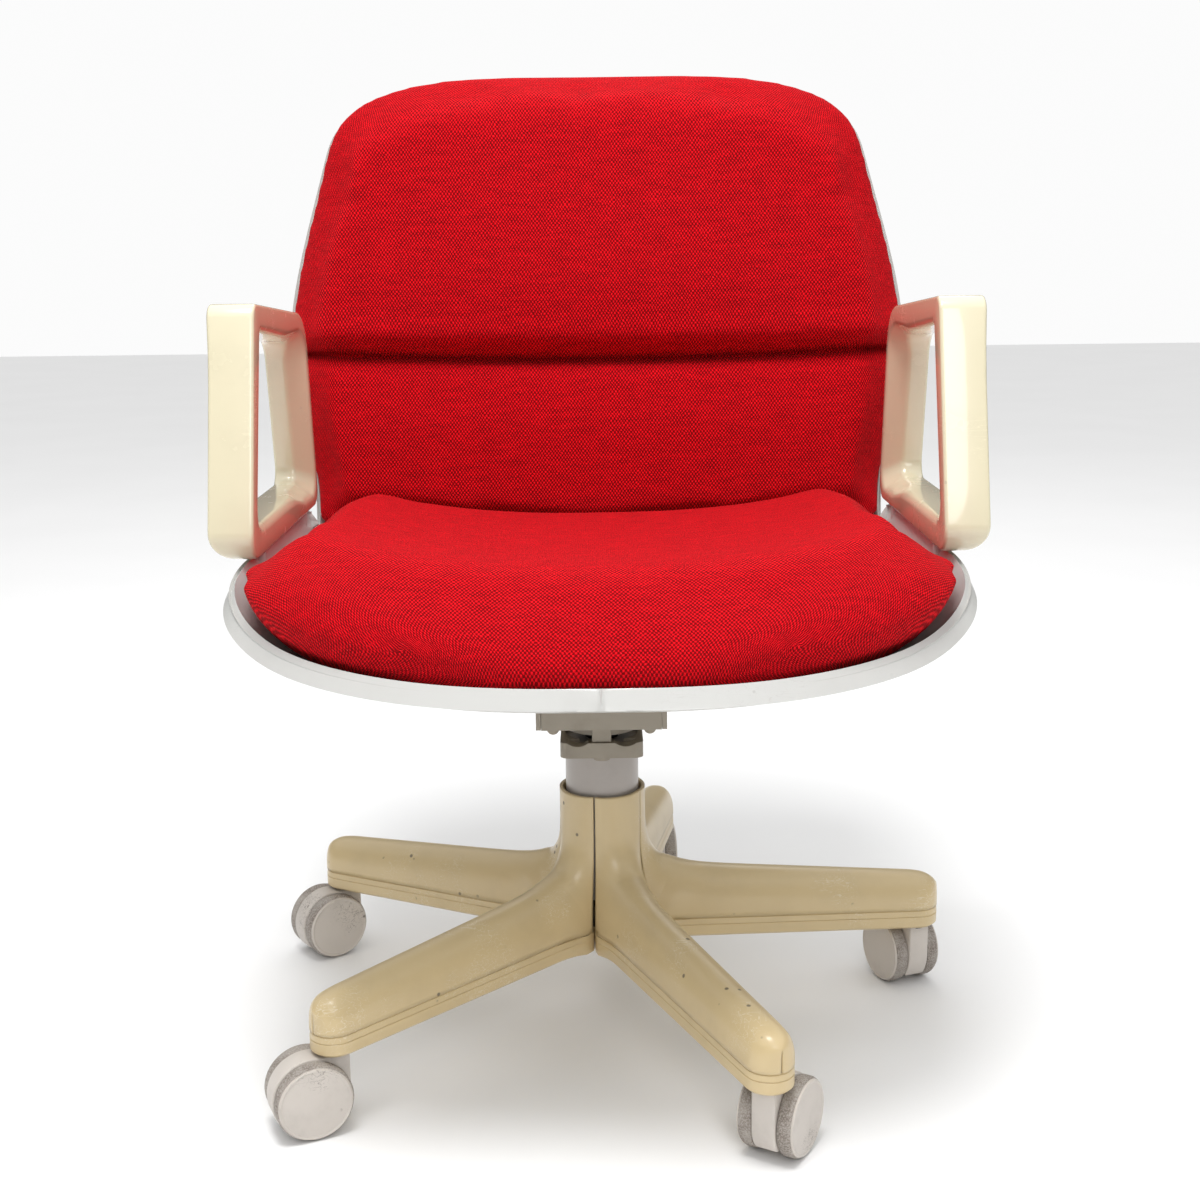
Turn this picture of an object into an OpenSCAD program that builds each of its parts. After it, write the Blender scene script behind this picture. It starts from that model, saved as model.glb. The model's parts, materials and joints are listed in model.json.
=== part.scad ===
// Swivel armchair with a moulded bucket shell, loop arms, a gas lift and a five-star castor base.
// Millimetres, +Z up. The origin is on the floor under the column, and the sitter faces -Y.

/* [Base] */
// Distance from the column to each castor stem
leg_r = 280; // [250:1:320]
// Turn of the star, from straight back towards the right
star_turn = -11.2; // [-36:0.1:36]
// Half width of a leg at its tip
leg_tip_hw = 19; // [16:0.5:24]
// Height of the lower leg cover
under_h = 16; // [12:1:20]
// Height of the upper leg cover at the castor
leg_tip_h = 31; // [27:1:42]
// Height of the upper leg cover beside the hub
leg_root_h = 46; // [40:1:60]
// Rise of the leg underside from castor to hub
leg_rise = 8; // [0:1:12]
// Outer radius of the hub
hub_r = 38; // [37:0.5:44]
// Height of the hub rim above the leg underside
hub_h = 142; // [130:1:175]
// Wall of the plastic covers
cover_wall = 3; // [2:0.5:4]

/* [Castors] */
// Diameter of a castor wheel
wheel_d = 60; // [50:1:75]
// Width of one wheel
wheel_w = 12.7; // [10:0.1:16]
// Width of the hood between the wheels
hood_w = 19; // [16:0.5:24]
// Distance from the stem to the axle
castor_trail = 22; // [18:0.5:24]
// Diameter of the stem
stem_d = 11; // [8:0.5:12]
// Diameter of the axle
axle_d = 6; // [5:0.5:8]

/* [Lift] */
// Travel of the seat height
lift_travel = 85; // [60:1:90]
// Outer diameter of the gas cylinder
gas_d = 28; // [26:0.5:30]
// Diameter of the piston rod
rod_d = 10; // [8:0.5:12]
// Outer diameter of the stand tube
stand_d = 50; // [46:1:52]
// Outer diameter of the column cover
tube_d = 62; // [60:0.5:63]
// Bare length of the column cover at its lowest setting
tube_show = 36; // [30:1:60]
// Travel of the release collar
release_travel = 4; // [3:0.5:4]

/* [Tilt] */
// Width of the tilt housing
housing_w = 98; // [94:1:110]
// Height of the tilt housing
housing_h = 15.7; // [15:0.1:18]
// Largest tilt of the seat in degrees
tilt_max = 10; // [5:0.5:10]
// Diameter of the tilt pin
tilt_pin_d = 7; // [6:0.5:8]

/* [Seat] */
// Width between the upper edges of the seat shell
seat_w = 520; // [500:1:540]
// Widest part of the back
back_w = 554; // [520:1:580]
// Width of the back just under its top corners
top_w = 474; // [430:1:500]
// Front edge of the shell, ahead of the column
seat_front = 281; // [260:1:300]
// Depth of the flat pan
pan_depth = 230; // [210:1:250]
// Radius of the bend between seat and back
bend_r = 100; // [95:1:110]
// Lean of the back from upright in degrees
back_lean = 8; // [4:0.5:12]
// Length of the straight part of the back
back_len = 398; // [340:1:440]
// Wall of the shell
shell_wall = 5; // [4:0.5:7]
// Thickness of the rolled rim along the seat
rim_t = 16; // [12:1:20]
// Thickness of the rolled rim along the back
back_rim_t = 9; // [7:1:12]
// Height of the foam above the middle of the pan
seat_foam = 94; // [80:1:105]
// Thickness of the foam of the back
back_foam = 52; // [40:1:60]
// Height of the seam across the back above the bend
seam_up = 148; // [120:1:180]

/* [Arms] */
// Distance between the inner faces of the arms
arm_gap = 508; // [504:1:512]
// Width of an arm
arm_w = 34; // [30:1:38]
// Thickness of the arm's loop
arm_t = 22; // [18:1:26]
// Height of an arm above its seat on the shell
arm_h = 187; // [160:1:215]

/* [Hidden] */
$fn = 64;
fit = 0.05;
clear = 0.3;
seam = 1;
legs = [0, 1, 2, 3, 4];
leg_step = 72;
castor_heading = [95, 216, 204, 59, 112];

// Heights, from the floor up
leg_z = wheel_d + 2;
root_z = leg_z + leg_rise;
hub_top = leg_z + hub_h;
neck_h = 3.6;
hood_top = leg_z - clear - neck_h;
hub_seam_a = seam / 2 / hub_r * 180 / PI;
flare_h = 27;
flare_len = 14;
plate_t = 4;
frame_z = root_z + 4;
arm_bar_h = 18;
bar_w = 20;
arm_bar_z = frame_z + 8;
collar_z = hub_top + tube_show;
collar_h = 13;
skirt_z = collar_z + collar_h + release_travel + 0.5;
housing_z = collar_z + 31;
housing_top = housing_z + housing_h;
bracket_z = housing_top + clear;
bracket_t = 4;
boss_h = 27;
pan_z = bracket_z + bracket_t + boss_h;

// Column
gas_top = housing_z + 1;
gas_bottom = frame_z + plate_t + 14;
bush_len = 30;
stand_top = hub_top - 12;
tube_wall = 2.5;
tube_bottom = hub_top - lift_travel - 8;
stem_top = arm_bar_z + arm_bar_h - 6;
socket_r = stem_d / 2 + 4;
clip_t = 2;

// Tilt and release linkage
wall = 3;
housing_front = -60;
housing_back = 50;
tilt_y = 30;
tilt_z = housing_z + 7.5;
tilt_pin_r = tilt_pin_d / 2;
cheek_t = 4;
spring_t = 0.8;
lever_y = -17;
lever_z = housing_z + 9;
lever_t = 3;
lever_pin_r = 1.5;
valve_r = 2.5;
tappet_w = 16;
tappet_t = 4;
tappet_y = -tube_d / 2 - 1;
boss_xy = [[-44, -36], [44, -36], [-44, 106], [44, 106]];
boss_r = 13;
bolt_r = 4;
head_r = 7;
head_h = 3.5;
head_z = pan_z + 1.3;
bracket_front = housing_front - 2;
bracket_back = 124;

// Shell face: a front arc, a flat pan, a bend and a straight back
front_r = 280;
pan_front = -130;
pan_back = pan_front + pan_depth;
front_a = asin((seat_front + pan_front) / front_r);
len_front = front_r * front_a * PI / 180;
bend_a = 90 - back_lean;
len_bend = bend_r * bend_a * PI / 180;
q_pan = len_front + pan_depth;
q_back = q_pan + len_bend;
q_top = q_back + back_len;
front_cap = 183;
top_cap = 84;
cap_n = 3.5;
top_n = 3.4;
rim_fade = 60;
inner_z = pan_z + shell_wall;

// Rise of the sides over the pan: a slow part and a steep last part, which is lower at the front
side_curl = 60;
edge_curl = 46;
front_dip = 12;
back_curl = 25;
back_edge_curl = 12;
slow_n = 3;
steep_n = 14;

// Arms
arm_x = arm_gap / 2;
arm_z = inner_z + side_curl + edge_curl + 1;
arm_screw_y = [-106, 74];
arm_boss_r = 7;
arm_boss_h = 34;
arm_screw_r = 2.5;
arm_screw_x = arm_x + 8;

// ---------------------------------------------------------------- helpers

function mix(a, b, k) = a + (b - a) * k;
function clamp01(k) = min(1, max(0, k));
function smooth(k) = let (c = clamp01(k)) c * c * (3 - 2 * c);
function cap(k, n) = pow(max(0, 1 - pow(clamp01(k), n)), 1 / n);
function leg_angle(i) = 90 + star_turn + leg_step * i;
function leg_point(i) = leg_r * [cos(leg_angle(i)), sin(leg_angle(i)), 0];

// Points of a round corner at b, on the way from a to c
function corner(a, b, c, r, n = 8) =
    let (
        u = (a - b) / norm(a - b),
        v = (c - b) / norm(c - b),
        half = acos(u * v) / 2,
        d = r / tan(half),
        mid = b + (u + v) / norm(u + v) * r / sin(half),
        p0 = b + u * d - mid,
        a0 = atan2(p0[1], p0[0]),
        p1 = b + v * d - mid,
        raw = atan2(p1[1], p1[0]) - a0,
        sweep = raw > 180 ? raw - 360 : raw < -180 ? raw + 360 : raw
    )
    [for (i = [0:n]) mid + r * [cos(a0 + sweep * i / n), sin(a0 + sweep * i / n)]];

// Outline through corners given as [x, y, radius]
function rounded(c) =
    let (k = len(c))
    [for (i = [0:k - 1])
        let (a = c[(i + k - 1) % k], b = c[i], d = c[(i + 1) % k])
        each corner([a[0], a[1]], [b[0], b[1]], [d[0], d[1]], b[2])];

module ring(r_out, r_in, h) {
    difference() {
        cylinder(r = r_out, h = h);
        translate([0, 0, -1])
            cylinder(r = r_in, h = h + 2);
    }
}

// Closed solid between an upper and a lower grid of points
module grid_solid(upper, lower) {
    n = len(upper);
    m = len(upper[0]);
    k = n * m;
    function at(i, j) = i * m + j;
    faces = concat(
        [for (i = [0:n - 2]) for (j = [0:m - 2]) [at(i, j), at(i + 1, j), at(i + 1, j + 1)]],
        [for (i = [0:n - 2]) for (j = [0:m - 2]) [at(i, j), at(i + 1, j + 1), at(i, j + 1)]],
        [for (i = [0:n - 2]) for (j = [0:m - 2]) [k + at(i, j), k + at(i + 1, j + 1), k + at(i + 1, j)]],
        [for (i = [0:n - 2]) for (j = [0:m - 2]) [k + at(i, j), k + at(i, j + 1), k + at(i + 1, j + 1)]],
        [for (j = [0:m - 2]) each strip(at(0, j), at(0, j + 1), k)],
        [for (j = [0:m - 2]) each strip(at(n - 1, j + 1), at(n - 1, j), k)],
        [for (i = [0:n - 2]) each strip(at(i + 1, 0), at(i, 0), k)],
        [for (i = [0:n - 2]) each strip(at(i, m - 1), at(i + 1, m - 1), k)]
    );
    polyhedron(points = concat([for (r = upper) each r], [for (r = lower) each r]), faces = faces);
}

function strip(a, b, k) = [[a, b, k + b], [a, k + b, k + a]];

// Closed tube through rings of equal point counts, with flat ends
module loft(rings) {
    n = len(rings);
    m = len(rings[0]);
    faces = concat(
        [[for (j = [0:m - 1]) j]],
        [[for (j = [m - 1:-1:0]) (n - 1) * m + j]],
        [for (i = [0:n - 2]) for (j = [0:m - 1])
            [i * m + j, (i + 1) * m + j, (i + 1) * m + (j + 1) % m]],
        [for (i = [0:n - 2]) for (j = [0:m - 1])
            [i * m + j, (i + 1) * m + (j + 1) % m, i * m + (j + 1) % m]]
    );
    polyhedron(points = [for (r = rings) each r], faces = faces);
}

module at_leg(i) {
    rotate([0, 0, leg_angle(i)])
        children();
}

// Castor frame: x along the trail from the stem, y along the axle
module at_castor(i) {
    translate(leg_point(i))
        rotate([0, 0, castor_heading[i]])
            children();
}

module at_axle(i) {
    at_castor(i)
        translate([castor_trail, 0, wheel_d / 2])
            rotate([-90, 0, 0])
                children();
}

// ---------------------------------------------------------------- base

function leg_seam(r) = leg_z + under_h + leg_rise * clamp01((leg_r - r) / (leg_r - hub_r));
function nose(r) = cap((r - leg_r + 10) / (leg_tip_hw + 12), 2.5);
function leg_flare(r) = flare_h * exp(-max(0, r - hub_r) / flare_len);
function leg_top(r) =
    let (k = clamp01((leg_r - r) / (leg_r - hub_r)))
    leg_z + under_h + 8 + (mix(leg_tip_h, leg_root_h, k) - 8) * nose(r) + leg_rise * k + leg_flare(r);
function leg_hw(r) =
    let (root = hub_r * sin(leg_step / 2) - seam / 2)
    r < leg_r ? mix(root, leg_tip_hw, clamp01((r - hub_r) / (leg_r - hub_r)))
              : sqrt(max(1, leg_tip_hw * leg_tip_hw - pow(r - leg_r, 2)));

// Section of the upper cover across the leg: straight sides under a round arch
function leg_section(r, inset, drop) =
    let (
        w = leg_hw(r) - inset,
        z0 = leg_seam(r) - drop,
        zs = leg_seam(r) + 7,
        top = leg_top(r) - inset
    )
    concat(
        [[r, w, z0]],
        [for (a = [0:15:180])
            [r, w * sign(cos(a)) * pow(abs(cos(a)), 0.8), zs + (top - zs) * pow(sin(a), 0.8)]],
        [[r, -w, z0]]
    );

function stations(r0, r1) =
    [r0, r0 + 5, r0 + 11, r0 + 19, r0 + 32, r0 + 60, leg_r - 90, leg_r - 14,
     for (a = [15:15:75]) leg_r - 4 + (r1 - leg_r + 4) * sin(a), r1];

module leg_cover(i) {
    slot_w = bar_w + 4;
    color("#cdbd92")
    at_leg(i)
        difference() {
            union() {
                difference() {
                    loft([for (r = stations(hub_r - 2, leg_r + leg_tip_hw - 1)) leg_section(r, 0, 0)]);
                    loft([for (r = stations(hub_r + 1, leg_r + leg_tip_hw - 5)) leg_section(r, cover_wall, 1)]);
                }
                rotate([0, 0, -leg_step / 2 + hub_seam_a])
                    rotate_extrude(angle = leg_step - 2 * hub_seam_a)
                        translate([hub_r - cover_wall, root_z + under_h])
                            square([cover_wall, hub_h - leg_rise - under_h]);
            }
            translate([hub_r - 8, -slot_w / 2, root_z])
                cube([20, slot_w, arm_bar_z + arm_bar_h + 8 - root_z]);
        }
}

// Flat body of a lower cover, with a round end under the castor
module under_body(inset, z_add) {
    hull() {
        translate([leg_r, 0, leg_z + z_add])
            cylinder(r = leg_tip_hw - inset, h = under_h - seam / 2, $fn = 32);
        translate([hub_r - 1 + inset, -leg_hw(hub_r) + inset, root_z + z_add])
            cube([4, 2 * leg_hw(hub_r) - 2 * inset, under_h - seam / 2]);
    }
}

module leg_underside(i) {
    color("#c2b287")
    at_leg(i)
        difference() {
            under_body(0, 0);
            under_body(cover_wall, cover_wall);
            translate([leg_r, 0, leg_z - 1])
                cylinder(r = stem_d / 2 + 1.5, h = under_h);
            translate([hub_r - 8, -12, root_z + 6])
                cube([20, 24, under_h]);
        }
}

module base_frame() {
    color("#4a4a4c")
    difference() {
        union() {
            translate([0, 0, frame_z])
                cylinder(r = stand_d / 2 + 5, h = 30);
            translate([0, 0, frame_z])
                cylinder(r = stand_d / 2, h = stand_top - frame_z);
            for (i = legs)
                at_leg(i) {
                    translate([stand_d / 2 - 3, -bar_w / 2, arm_bar_z])
                        cube([leg_r - stand_d / 2, bar_w, arm_bar_h]);
                    translate([leg_r, 0, leg_z + cover_wall + clear])
                        cylinder(r = socket_r, h = arm_bar_z + arm_bar_h - leg_z - cover_wall - clear);
                }
        }
        translate([0, 0, frame_z + plate_t])
            cylinder(r = stand_d / 2 - wall, h = stand_top);
        translate([0, 0, frame_z - 1])
            cylinder(r = rod_d / 2 + fit, h = plate_t + 2);
        for (i = legs)
            at_leg(i)
                translate([leg_r, 0, leg_z])
                    cylinder(r = stem_d / 2 + fit, h = stem_top + 1 - leg_z);
    }
}

module guide_bush() {
    color("#e4e2dc")
    translate([0, 0, stand_top - bush_len])
        ring(stand_d / 2 - wall, gas_d / 2 + fit, bush_len);
}

module thrust_bearing() {
    color("#9a9a98")
    translate([0, 0, frame_z + plate_t])
        ring(14, rod_d / 2 + fit, 5.7);
}

// ---------------------------------------------------------------- castors

module castor_hood(i) {
    hood_r = wheel_d / 2 + 0.6;
    floor_gap = 7;
    color("#d4cdc6")
    difference() {
        union() {
            at_axle(i)
                translate([0, 0, -hood_w / 2])
                    cylinder(r = hood_r, h = hood_w);
            at_castor(i)
                translate([0, 0, wheel_d / 2])
                    cylinder(r = 8.5, h = hood_top - wheel_d / 2);
        }
        at_castor(i)
            translate([-wheel_d, -hood_w, -1])
                cube([3 * wheel_d, 2 * hood_w, floor_gap + 1]);
        at_castor(i)
            translate([0, 0, wheel_d / 2 + 6])
                cylinder(r = stem_d / 2, h = wheel_d);
        at_axle(i)
            translate([0, 0, -hood_w])
                cylinder(r = axle_d / 2, h = 2 * hood_w);
    }
}

module castor_stem(i) {
    color("#2a2a2c")
    at_castor(i) {
        translate([0, 0, wheel_d / 2 + 6])
            cylinder(r = stem_d / 2, h = stem_top - wheel_d / 2 - 6);
        translate([0, 0, hood_top])
            cylinder(r = 9.5, h = neck_h);
    }
}

module castor_axle(i) {
    axle_len = hood_w + 2 * wheel_w - 5;
    color("#8c8c8e")
    at_axle(i)
        translate([0, 0, -axle_len / 2])
            cylinder(r = axle_d / 2, h = axle_len);
}

// Twin wheel with a crowned tread and a plain raised face; side is -1 or 1 along the axle
module castor_wheel(i, side) {
    r = wheel_d / 2;
    color("#c6beb8")
    at_axle(i)
        rotate([side > 0 ? 0 : 180, 0, 0])
            translate([0, 0, hood_w / 2 + clear])
                difference() {
                    rotate_extrude()
                        polygon(concat(
                            [[0, 0], [r - 1.5, 0]],
                            corner([r - 1.5, 0], [r, 0.8], [r, 3], 0.8, 4),
                            corner([r, 3], [r, wheel_w - 1], [r - 3, wheel_w - 0.5], 1.4, 6),
                            [[r - 2.6, wheel_w], [0, wheel_w]]
                        ));
                    translate([0, 0, -1])
                        cylinder(r = axle_d / 2 + fit, h = wheel_w - 2 + 1);
                }
}

// ---------------------------------------------------------------- lift

module piston_rod() {
    piston_z = gas_top - 26;
    color("#c9cacc") {
        translate([0, 0, frame_z - 5])
            cylinder(r = rod_d / 2, h = piston_z - frame_z + 6);
        translate([0, 0, frame_z + plate_t + 6])
            cylinder(r = 9, h = 3);
        translate([0, 0, piston_z])
            cylinder(r = gas_d / 2 - 2.5 - fit, h = 8);
    }
}

module retaining_clip() {
    color("#8c8c8e")
    translate([0, 0, frame_z - clip_t - clear])
        ring(9, rod_d / 2, clip_t);
}

module gas_cylinder() {
    color("#26262a")
    translate([0, 0, gas_bottom])
        difference() {
            cylinder(r = gas_d / 2, h = gas_top - gas_bottom);
            translate([0, 0, 12])
                cylinder(r = gas_d / 2 - 2.5, h = gas_top - gas_bottom - 22);
            translate([0, 0, -1])
                cylinder(r = rod_d / 2 + fit, h = 14);
            translate([0, 0, gas_top - gas_bottom - 8.5])
                cylinder(r = valve_r + fit, h = 10);
        }
}

module column_cover() {
    tube_top = collar_z + 9;
    cap_t = 3;
    color("#b4aaa0")
    difference() {
        translate([0, 0, tube_bottom])
            cylinder(r = tube_d / 2, h = tube_top - tube_bottom);
        translate([0, 0, tube_bottom - 1])
            cylinder(r = tube_d / 2 - tube_wall, h = tube_top - tube_bottom - cap_t + 1);
        translate([0, 0, tube_bottom])
            cylinder(r = gas_d / 2, h = tube_top);
    }
}

module tilt_housing() {
    hw = housing_w / 2;
    depth = housing_back - housing_front;
    lip_w = 25;
    color("#8d8471")
    difference() {
        union() {
            translate([-hw, housing_front, housing_z])
                cube([2 * hw, depth, housing_h]);
            translate([0, 0, skirt_z])
                cylinder(r = tube_d / 2, h = housing_z + 1 - skirt_z);
            translate([-lip_w / 2, tappet_y - tappet_t - 3, housing_z - 3.5])
                cube([lip_w, tappet_t + 4, 4]);
        }
        difference() {
            translate([-hw + wall, housing_front + wall, housing_z + wall])
                cube([2 * hw - 2 * wall, depth - 2 * wall, housing_h]);
            for (x = [-hw + wall, hw - wall])
                translate([x, tilt_y, tilt_z])
                    rotate([0, 90, 0])
                        cylinder(r = tilt_pin_r + 2, h = 8, center = true);
        }
        translate([0, 0, skirt_z - 1])
            difference() {
                cylinder(r = tube_d / 2 - wall, h = housing_z - skirt_z);
                cylinder(r = gas_d / 2 + wall, h = housing_z);
            }
        translate([0, 0, skirt_z - 1])
            cylinder(r = gas_d / 2, h = gas_top - skirt_z + 1);
        translate([0, 0, gas_top - 1])
            cylinder(r = gas_d / 2 - 3, h = 20);
        translate([-tappet_w / 2 - clear, tappet_y - tappet_t - clear, skirt_z])
            cube([tappet_w + 2 * clear, tappet_t + 2 * clear, housing_h + 10]);
        translate([-hw - 1, tilt_y, tilt_z])
            rotate([0, 90, 0])
                cylinder(r = tilt_pin_r + fit, h = 2 * hw + 2);
        translate([-hw + 1, lever_y, lever_z])
            rotate([0, 90, 0])
                cylinder(r = lever_pin_r, h = 2 * hw - 2);
        translate([0, tilt_y, tilt_z])
            rotate([-tilt_max, 0, 0])
                translate([-hw - 1, 0, bracket_z - tilt_z - 2 * clear])
                    cube([2 * hw + 2, 60, 20]);
        for (x = [-40, 40])
            translate([x, -40, housing_z - 1])
                cylinder(r = 2.5, h = wall + 2);
    }
}

module housing_screws() {
    color("#7d7566")
    for (x = [-40, 40])
        translate([x, -40, housing_z]) {
            translate([0, 0, -4])
                cylinder(r = 5.3, h = 4);
            cylinder(r = 2.5, h = wall + 1);
            intersection() {
                translate([0, 0, -4])
                    sphere(r = 5.3);
                translate([-10, -10, -14])
                    cube([20, 20, 10]);
            }
        }
}

module lever_pin() {
    color("#9a9a98")
    translate([-housing_w / 2 + 1, lever_y, lever_z])
        rotate([0, 90, 0])
            cylinder(r = lever_pin_r, h = housing_w - 2);
}

module tilt_springs() {
    color("#303034")
    for (side = [-1, 1])
        translate([side * 27 - 12, tilt_y, tilt_z])
            rotate([0, 90, 0])
                ring(tilt_pin_r + spring_t, tilt_pin_r + fit, 24);
}

// ---------------------------------------------------------------- release

module release_collar() {
    half = tube_d / 2 + 3.5;
    front = tube_d / 2 + 7;
    color("#a79d8c")
    difference() {
        union() {
            translate([0, 0, collar_z])
                linear_extrude(collar_h)
                    polygon(rounded([[-half, -front, 7], [half, -front, 7],
                                     [half, half, 26], [-half, half, 26]]));
            translate([0, -front + 7, collar_z - 2.5])
                cylinder(r = 7, h = 4);
        }
        translate([0, 0, collar_z - 4])
            cylinder(r = tube_d / 2 + 2 * fit, h = collar_h + 6);
        for (side = [-1, 1])
            translate([side * 20, -front - 1, collar_z + collar_h + 11])
                rotate([-90, 0, 0])
                    cylinder(r = 14, h = 14);
    }
}

module release_tappet() {
    tip = lever_z - lever_t / 2 - clear;
    color("#55504b")
    translate([-tappet_w / 2, tappet_y - tappet_t, collar_z + collar_h])
        cube([tappet_w, tappet_t, tip - collar_z - collar_h]);
}

module valve_lever() {
    color("#6f6f72")
    difference() {
        union() {
            translate([-5, tappet_y - tappet_t, lever_z - lever_t / 2])
                cube([10, 3 - tappet_y + tappet_t, lever_t]);
            translate([-5, lever_y, lever_z])
                rotate([0, 90, 0])
                    cylinder(r = 3.6, h = 10);
        }
        translate([-6, lever_y, lever_z])
            rotate([0, 90, 0])
                cylinder(r = lever_pin_r + fit, h = 12);
    }
}

module valve_pin() {
    top = lever_z - lever_t / 2 - clear;
    color("#d8d8d8")
    translate([0, 0, gas_top - 3])
        cylinder(r = valve_r, h = top - gas_top + 3);
}

// ---------------------------------------------------------------- seat structure

module seat_bracket() {
    cheek_x = housing_w / 2 + clear;
    depth = housing_back - housing_front;
    flange_w = 120;
    color("#8d8471")
    difference() {
        union() {
            translate([-flange_w / 2, bracket_front, bracket_z])
                cube([flange_w, bracket_back - bracket_front, bracket_t]);
            for (x = [-cheek_x - cheek_t, cheek_x])
                translate([x, housing_front, housing_z + clear])
                    cube([cheek_t, depth, housing_h + 1]);
        }
        translate([-80, tilt_y, tilt_z])
            rotate([0, 90, 0])
                cylinder(r = tilt_pin_r, h = 160);
        for (p = boss_xy)
            translate([p[0], p[1], bracket_z - 1])
                cylinder(r = bolt_r, h = bracket_t + 2);
    }
}

module tilt_pin() {
    pin_len = housing_w + 2 * cheek_t + 5;
    color("#9a9a98")
    translate([-pin_len / 2, tilt_y, tilt_z])
        rotate([0, 90, 0])
            cylinder(r = tilt_pin_r, h = pin_len);
}

module seat_bolts() {
    color("#77777a")
    for (p = boss_xy)
        translate([p[0], p[1], bracket_z]) {
            cylinder(r = bolt_r, h = head_z - bracket_z);
            translate([0, 0, head_z - bracket_z])
                cylinder(r = head_r, h = head_h);
        }
}

// ---------------------------------------------------------------- shell face

// Place and heading of the middle line at distance q from the front edge
function spine(q) =
    q < len_front
        ? let (a = (q - len_front) / front_r * 180 / PI)
          [pan_front + front_r * sin(a), inner_z + front_r * (1 - cos(a)), a]
    : q < q_pan
        ? [pan_front + q - len_front, inner_z, 0]
    : q < q_back
        ? let (a = (q - q_pan) / bend_r * 180 / PI)
          [pan_back + bend_r * sin(a), inner_z + bend_r * (1 - cos(a)), a]
    : let (s = q - q_back)
      [pan_back + bend_r * sin(bend_a) + s * cos(bend_a),
       inner_z + bend_r * (1 - cos(bend_a)) + s * sin(bend_a), bend_a];

// Half width without the round ends
function half_w(q) =
    lookup(q, [[0, seat_w / 2], [q_pan, seat_w / 2 - 2], [q_back, seat_w / 2 - 4],
               [q_back + 120, back_w / 2 - 4], [q_back + 190, back_w / 2 - 1],
               [q_back + 330, top_w / 2 + 4], [q_top, top_w / 2 - 14]]);
function ends(q) =
    q < front_cap ? cap(1 - q / front_cap, cap_n)
    : q > q_top - top_cap ? cap(1 - (q_top - q) / top_cap, top_n) : 1;
function shell_hw(q) = half_w(q) * ends(q);

function steep(q) = edge_curl - front_dip * (1 - smooth((q - 60) / 110));

// Forward curl of the sides, deep along the seat and shallow up the back
function curl(p, q) =
    let (k = smooth((q - q_pan + 10) / (len_bend + 60)), t = abs(p) / half_w(q))
    mix(side_curl, back_curl, k) * pow(t, slow_n) + mix(steep(q), back_edge_curl, k) * pow(t, steep_n);
function skin_at(p, q, h) =
    let (s = spine(q), up = curl(p, q) + h)
    [p, s[0] - sin(s[2]) * up, s[1] + cos(s[2]) * up];
function skin_normal(p, q) =
    let (n = cross(skin_at(p + 1, q, 0) - skin_at(p - 1, q, 0),
                   skin_at(p, q + 1, 0) - skin_at(p, q - 1, 0)))
    n / norm(n);

// The rim leans halfway between the wall's own face and the way the spine faces
function rim_dir(p, q) =
    let (a = spine(q)[2], n = skin_normal(p, q) + [0, -sin(a), cos(a)])
    n / norm(n);
function rim_at(q) = mix(rim_t, back_rim_t, smooth((q - q_pan) / rim_fade));
function shell_back(p, q, rim) =
    skin_at(p, q, 0) - (rim ? rim_dir(p, q) * rim_at(q) : skin_normal(p, q) * shell_wall);

shell_rows = concat(
    [for (a = [5:8.5:90]) front_cap * (1 - cos(a))],
    [for (k = [0:4]) mix(front_cap + 20, q_pan - 4, k / 4)],
    [for (k = [0:9]) mix(q_pan + 6, q_back, k / 9)],
    [for (k = [1:6]) mix(q_back, q_top - top_cap, k / 6)],
    [for (a = [78:-12:6]) q_top - top_cap * (1 - cos(a))]
);
half_cols = [0.15, 0.3, 0.42, 0.54, 0.64, 0.73, 0.81, 0.87, 0.92, 0.955, 0.98, 1];
shell_cols = concat([for (k = [len(half_cols) - 1:-1:0]) -half_cols[k]], [0], half_cols);

function on_rim(i, j) =
    i == 0 || i == len(shell_rows) - 1 || j == 0 || j == len(shell_cols) - 1;

module seat_shell() {
    inner = [for (q = shell_rows) [for (t = shell_cols) skin_at(t * shell_hw(q), q, 0)]];
    outer = [for (i = [0:len(shell_rows) - 1]) [for (j = [0:len(shell_cols) - 1])
        shell_back(shell_cols[j] * shell_hw(shell_rows[i]), shell_rows[i], on_rim(i, j))]];
    color("#e6e8e8")
    difference() {
        union() {
            grid_solid(inner, outer);
            for (p = boss_xy)
                translate([p[0], p[1], bracket_z + bracket_t])
                    cylinder(r = boss_r, h = boss_h + 2);
            for (x = [-1, 1], y = arm_screw_y)
                translate([x * arm_screw_x, y, arm_z - arm_boss_h])
                    cylinder(r = arm_boss_r, h = arm_boss_h);
        }
        for (p = boss_xy)
            translate([p[0], p[1], bracket_z]) {
                cylinder(r = bolt_r, h = 60);
                translate([0, 0, head_z - bracket_z])
                    cylinder(r = head_r, h = 20);
            }
        for (x = [-1, 1], y = arm_screw_y)
            translate([x * arm_screw_x, y, arm_z - 60])
                cylinder(r = arm_screw_r, h = 80);
    }
}

// ---------------------------------------------------------------- cushions

pad_half = seat_w / 2 - 2;
pad_front = -seat_front + 5;
pad_back = pan_back + 50;
pad_mid = -70;

// Height of the shell's inner face over the floor, at a point of the seat plan
function bowl(x, y) =
    let (
        t = abs(x) / (seat_w / 2),
        a = asin(clamp01((pan_front - y) / front_r)),
        q = y < pan_front ? len_front - front_r * a * PI / 180 : len_front + y - pan_front,
        up = side_curl * pow(t, slow_n) + steep(q) * pow(t, steep_n),
        r = bend_r - up,
        d = min(max(0, y - pan_back), r - 1)
    )
    inner_z + front_r * (1 - cos(a)) + (y > pan_back ? bend_r - sqrt(r * r - d * d) : up / cos(a));

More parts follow.
